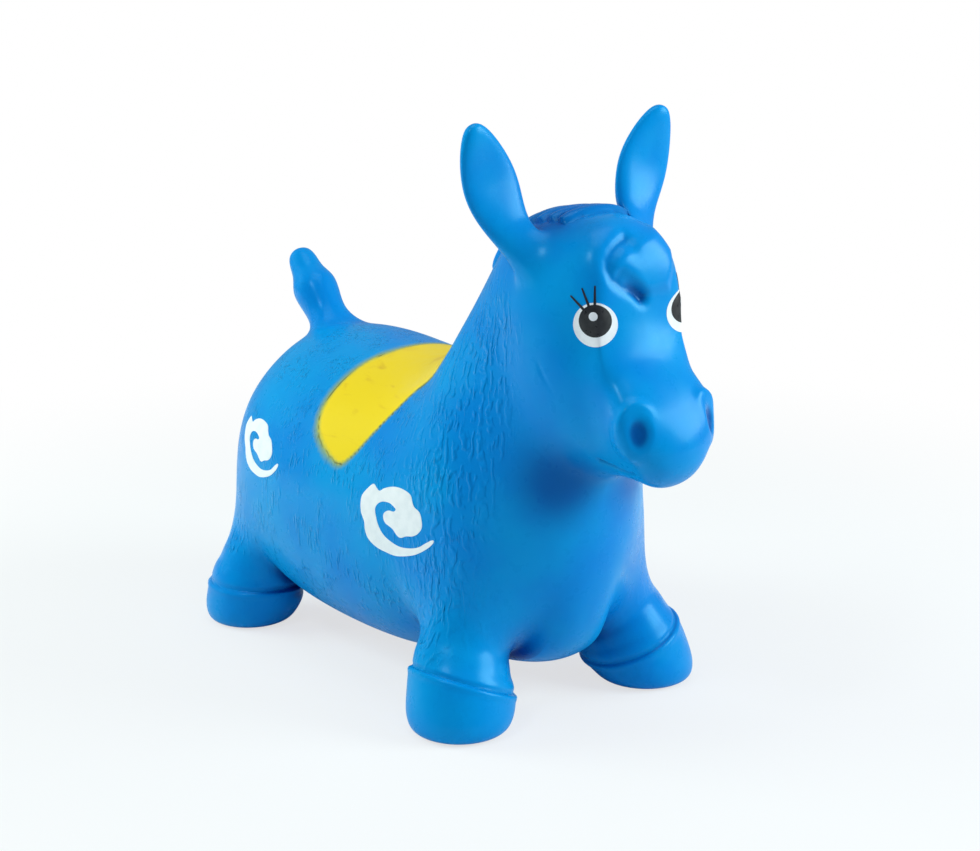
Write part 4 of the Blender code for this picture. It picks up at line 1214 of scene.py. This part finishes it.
def floor():
    """A pale floor that keeps the object's shadow and runs out into white."""
    corners = ((-1, -1), (1, -1), (1, 1), (-1, 1))
    mesh = array_mesh("floor", [(FLOOR_HALF * x, FLOOR_HALF * y, 0) for x, y in corners], [(0, 1, 2, 3)])
    material, tree, shader = new_material("floor")
    tree.nodes.remove(shader)
    place = add(tree, "TexCoord", {}).outputs["Object"]
    away = add(tree, "VectorMath", {0: place}, operation="LENGTH").outputs["Value"]
    fade = between(tree, away, FLOOR_FADE, FLOOR_WHITE_SHARE, 1.0)
    matt = add(tree, "BsdfDiffuse", {"Color": (*FLOOR_COLOUR, 1)}).outputs[0]
    white = add(tree, "Emission", {"Color": (*WHITE, 1), "Strength": 1.0}).outputs[0]
    share = product(tree, fade, seen_share(tree))
    mixed = add(tree, "MixShader", {0: share, 1: matt, 2: white}).outputs[0]
    tree.links.new(mixed, tree.nodes["Material Output"].inputs["Surface"])
    mesh.materials.append(material)
    node("floor", mesh)


def world():
    """White where the camera sees it, and a soft bluish light otherwise."""
    made = bpy.data.worlds.new("studio")
    bpy.context.scene.world = made
    made.use_nodes = True
    tree = made.node_tree
    seen = seen_share(tree)
    background = tree.nodes["Background"]
    tree.links.new(blended(tree, seen, AMBIENT_COLOUR, WHITE), background.inputs["Color"])
    tree.links.new(between(tree, seen, (0.0, 1.0), AMBIENT_STRENGTH, 1.0), background.inputs["Strength"])


def studio():
    ways = Matrix(camera()).transposed()
    for name, place, *looks in LAMPS:
        lamp(name, CAMERA_AIM + ways @ Vector(place), *looks)
    floor()
    world()
    bpy.context.scene.view_settings.view_transform = "Standard"


def skin_data():
    """The finished skin as arrays, with what the materials read for each vertex."""
    places, quads, zones = whole_skin()
    zones_of = np.zeros(len(places), np.int32)
    zones_of[quads.ravel()] = np.repeat(zones, 4)
    zones_of[quads[zones == TRUNK].ravel()] = TRUNK
    normals = normals_of(places, quads)
    made = {"quads": quads, "zones": zones}
    made["moulded_line"] = moulded_line(places, zones_of)
    made["fur"] = fur_share(places, zones_of)
    rise = relief(places, normals, zones_of)
    # Painted shade in the relief's dents and on the mane's ridge, and a painted shadow below the jaw
    recess = smoothstep(-rise / RECESS_DEPTH) * (zones_of == TRUNK) + MANE_SHADE * mane_band(places)
    # A painted shadow below the jaw, on both sides
    recess += THROAT_SHADE * bell(lengths(mirrored(places) - THROAT), THROAT_REACH)
    made["recess"] = recess
    places = places + normals * (rise + swell_rise(places))[:, None]
    made["places"] = places
    made["normals"] = normals_of(places, quads)
    made["tree"] = BVHTree.FromPolygons(places.tolist(), quads.tolist())
    return made


def dress():
    skin = skin_data()
    blue = vinyl("skin_vinyl", False)
    trunk_piece(skin, blue)
    for hand, side in HANDS:
        limb_piece(f"leg_front_{hand}_skin", FRONT_LEG, side, skin, blue)
        limb_piece(f"leg_rear_{hand}_skin", REAR_LEG, side, skin, blue)
        limb_piece(f"ear_{hand}_skin", EAR, side, skin, blue)
    limb_piece("tail_skin", TAIL, 0, skin, blue)
    saddle_piece(skin)
    white = ink("white_ink", *WHITE_INK)
    print_pieces(skin, white)
    eye_pieces(skin, white, ink("black_ink", *BLACK_INK))
    for name in ("valve_seat", "valve_plug"):
        frame["nodes"][name].material_slots[0].material = hard_vinyl(name)


dress()
studio()
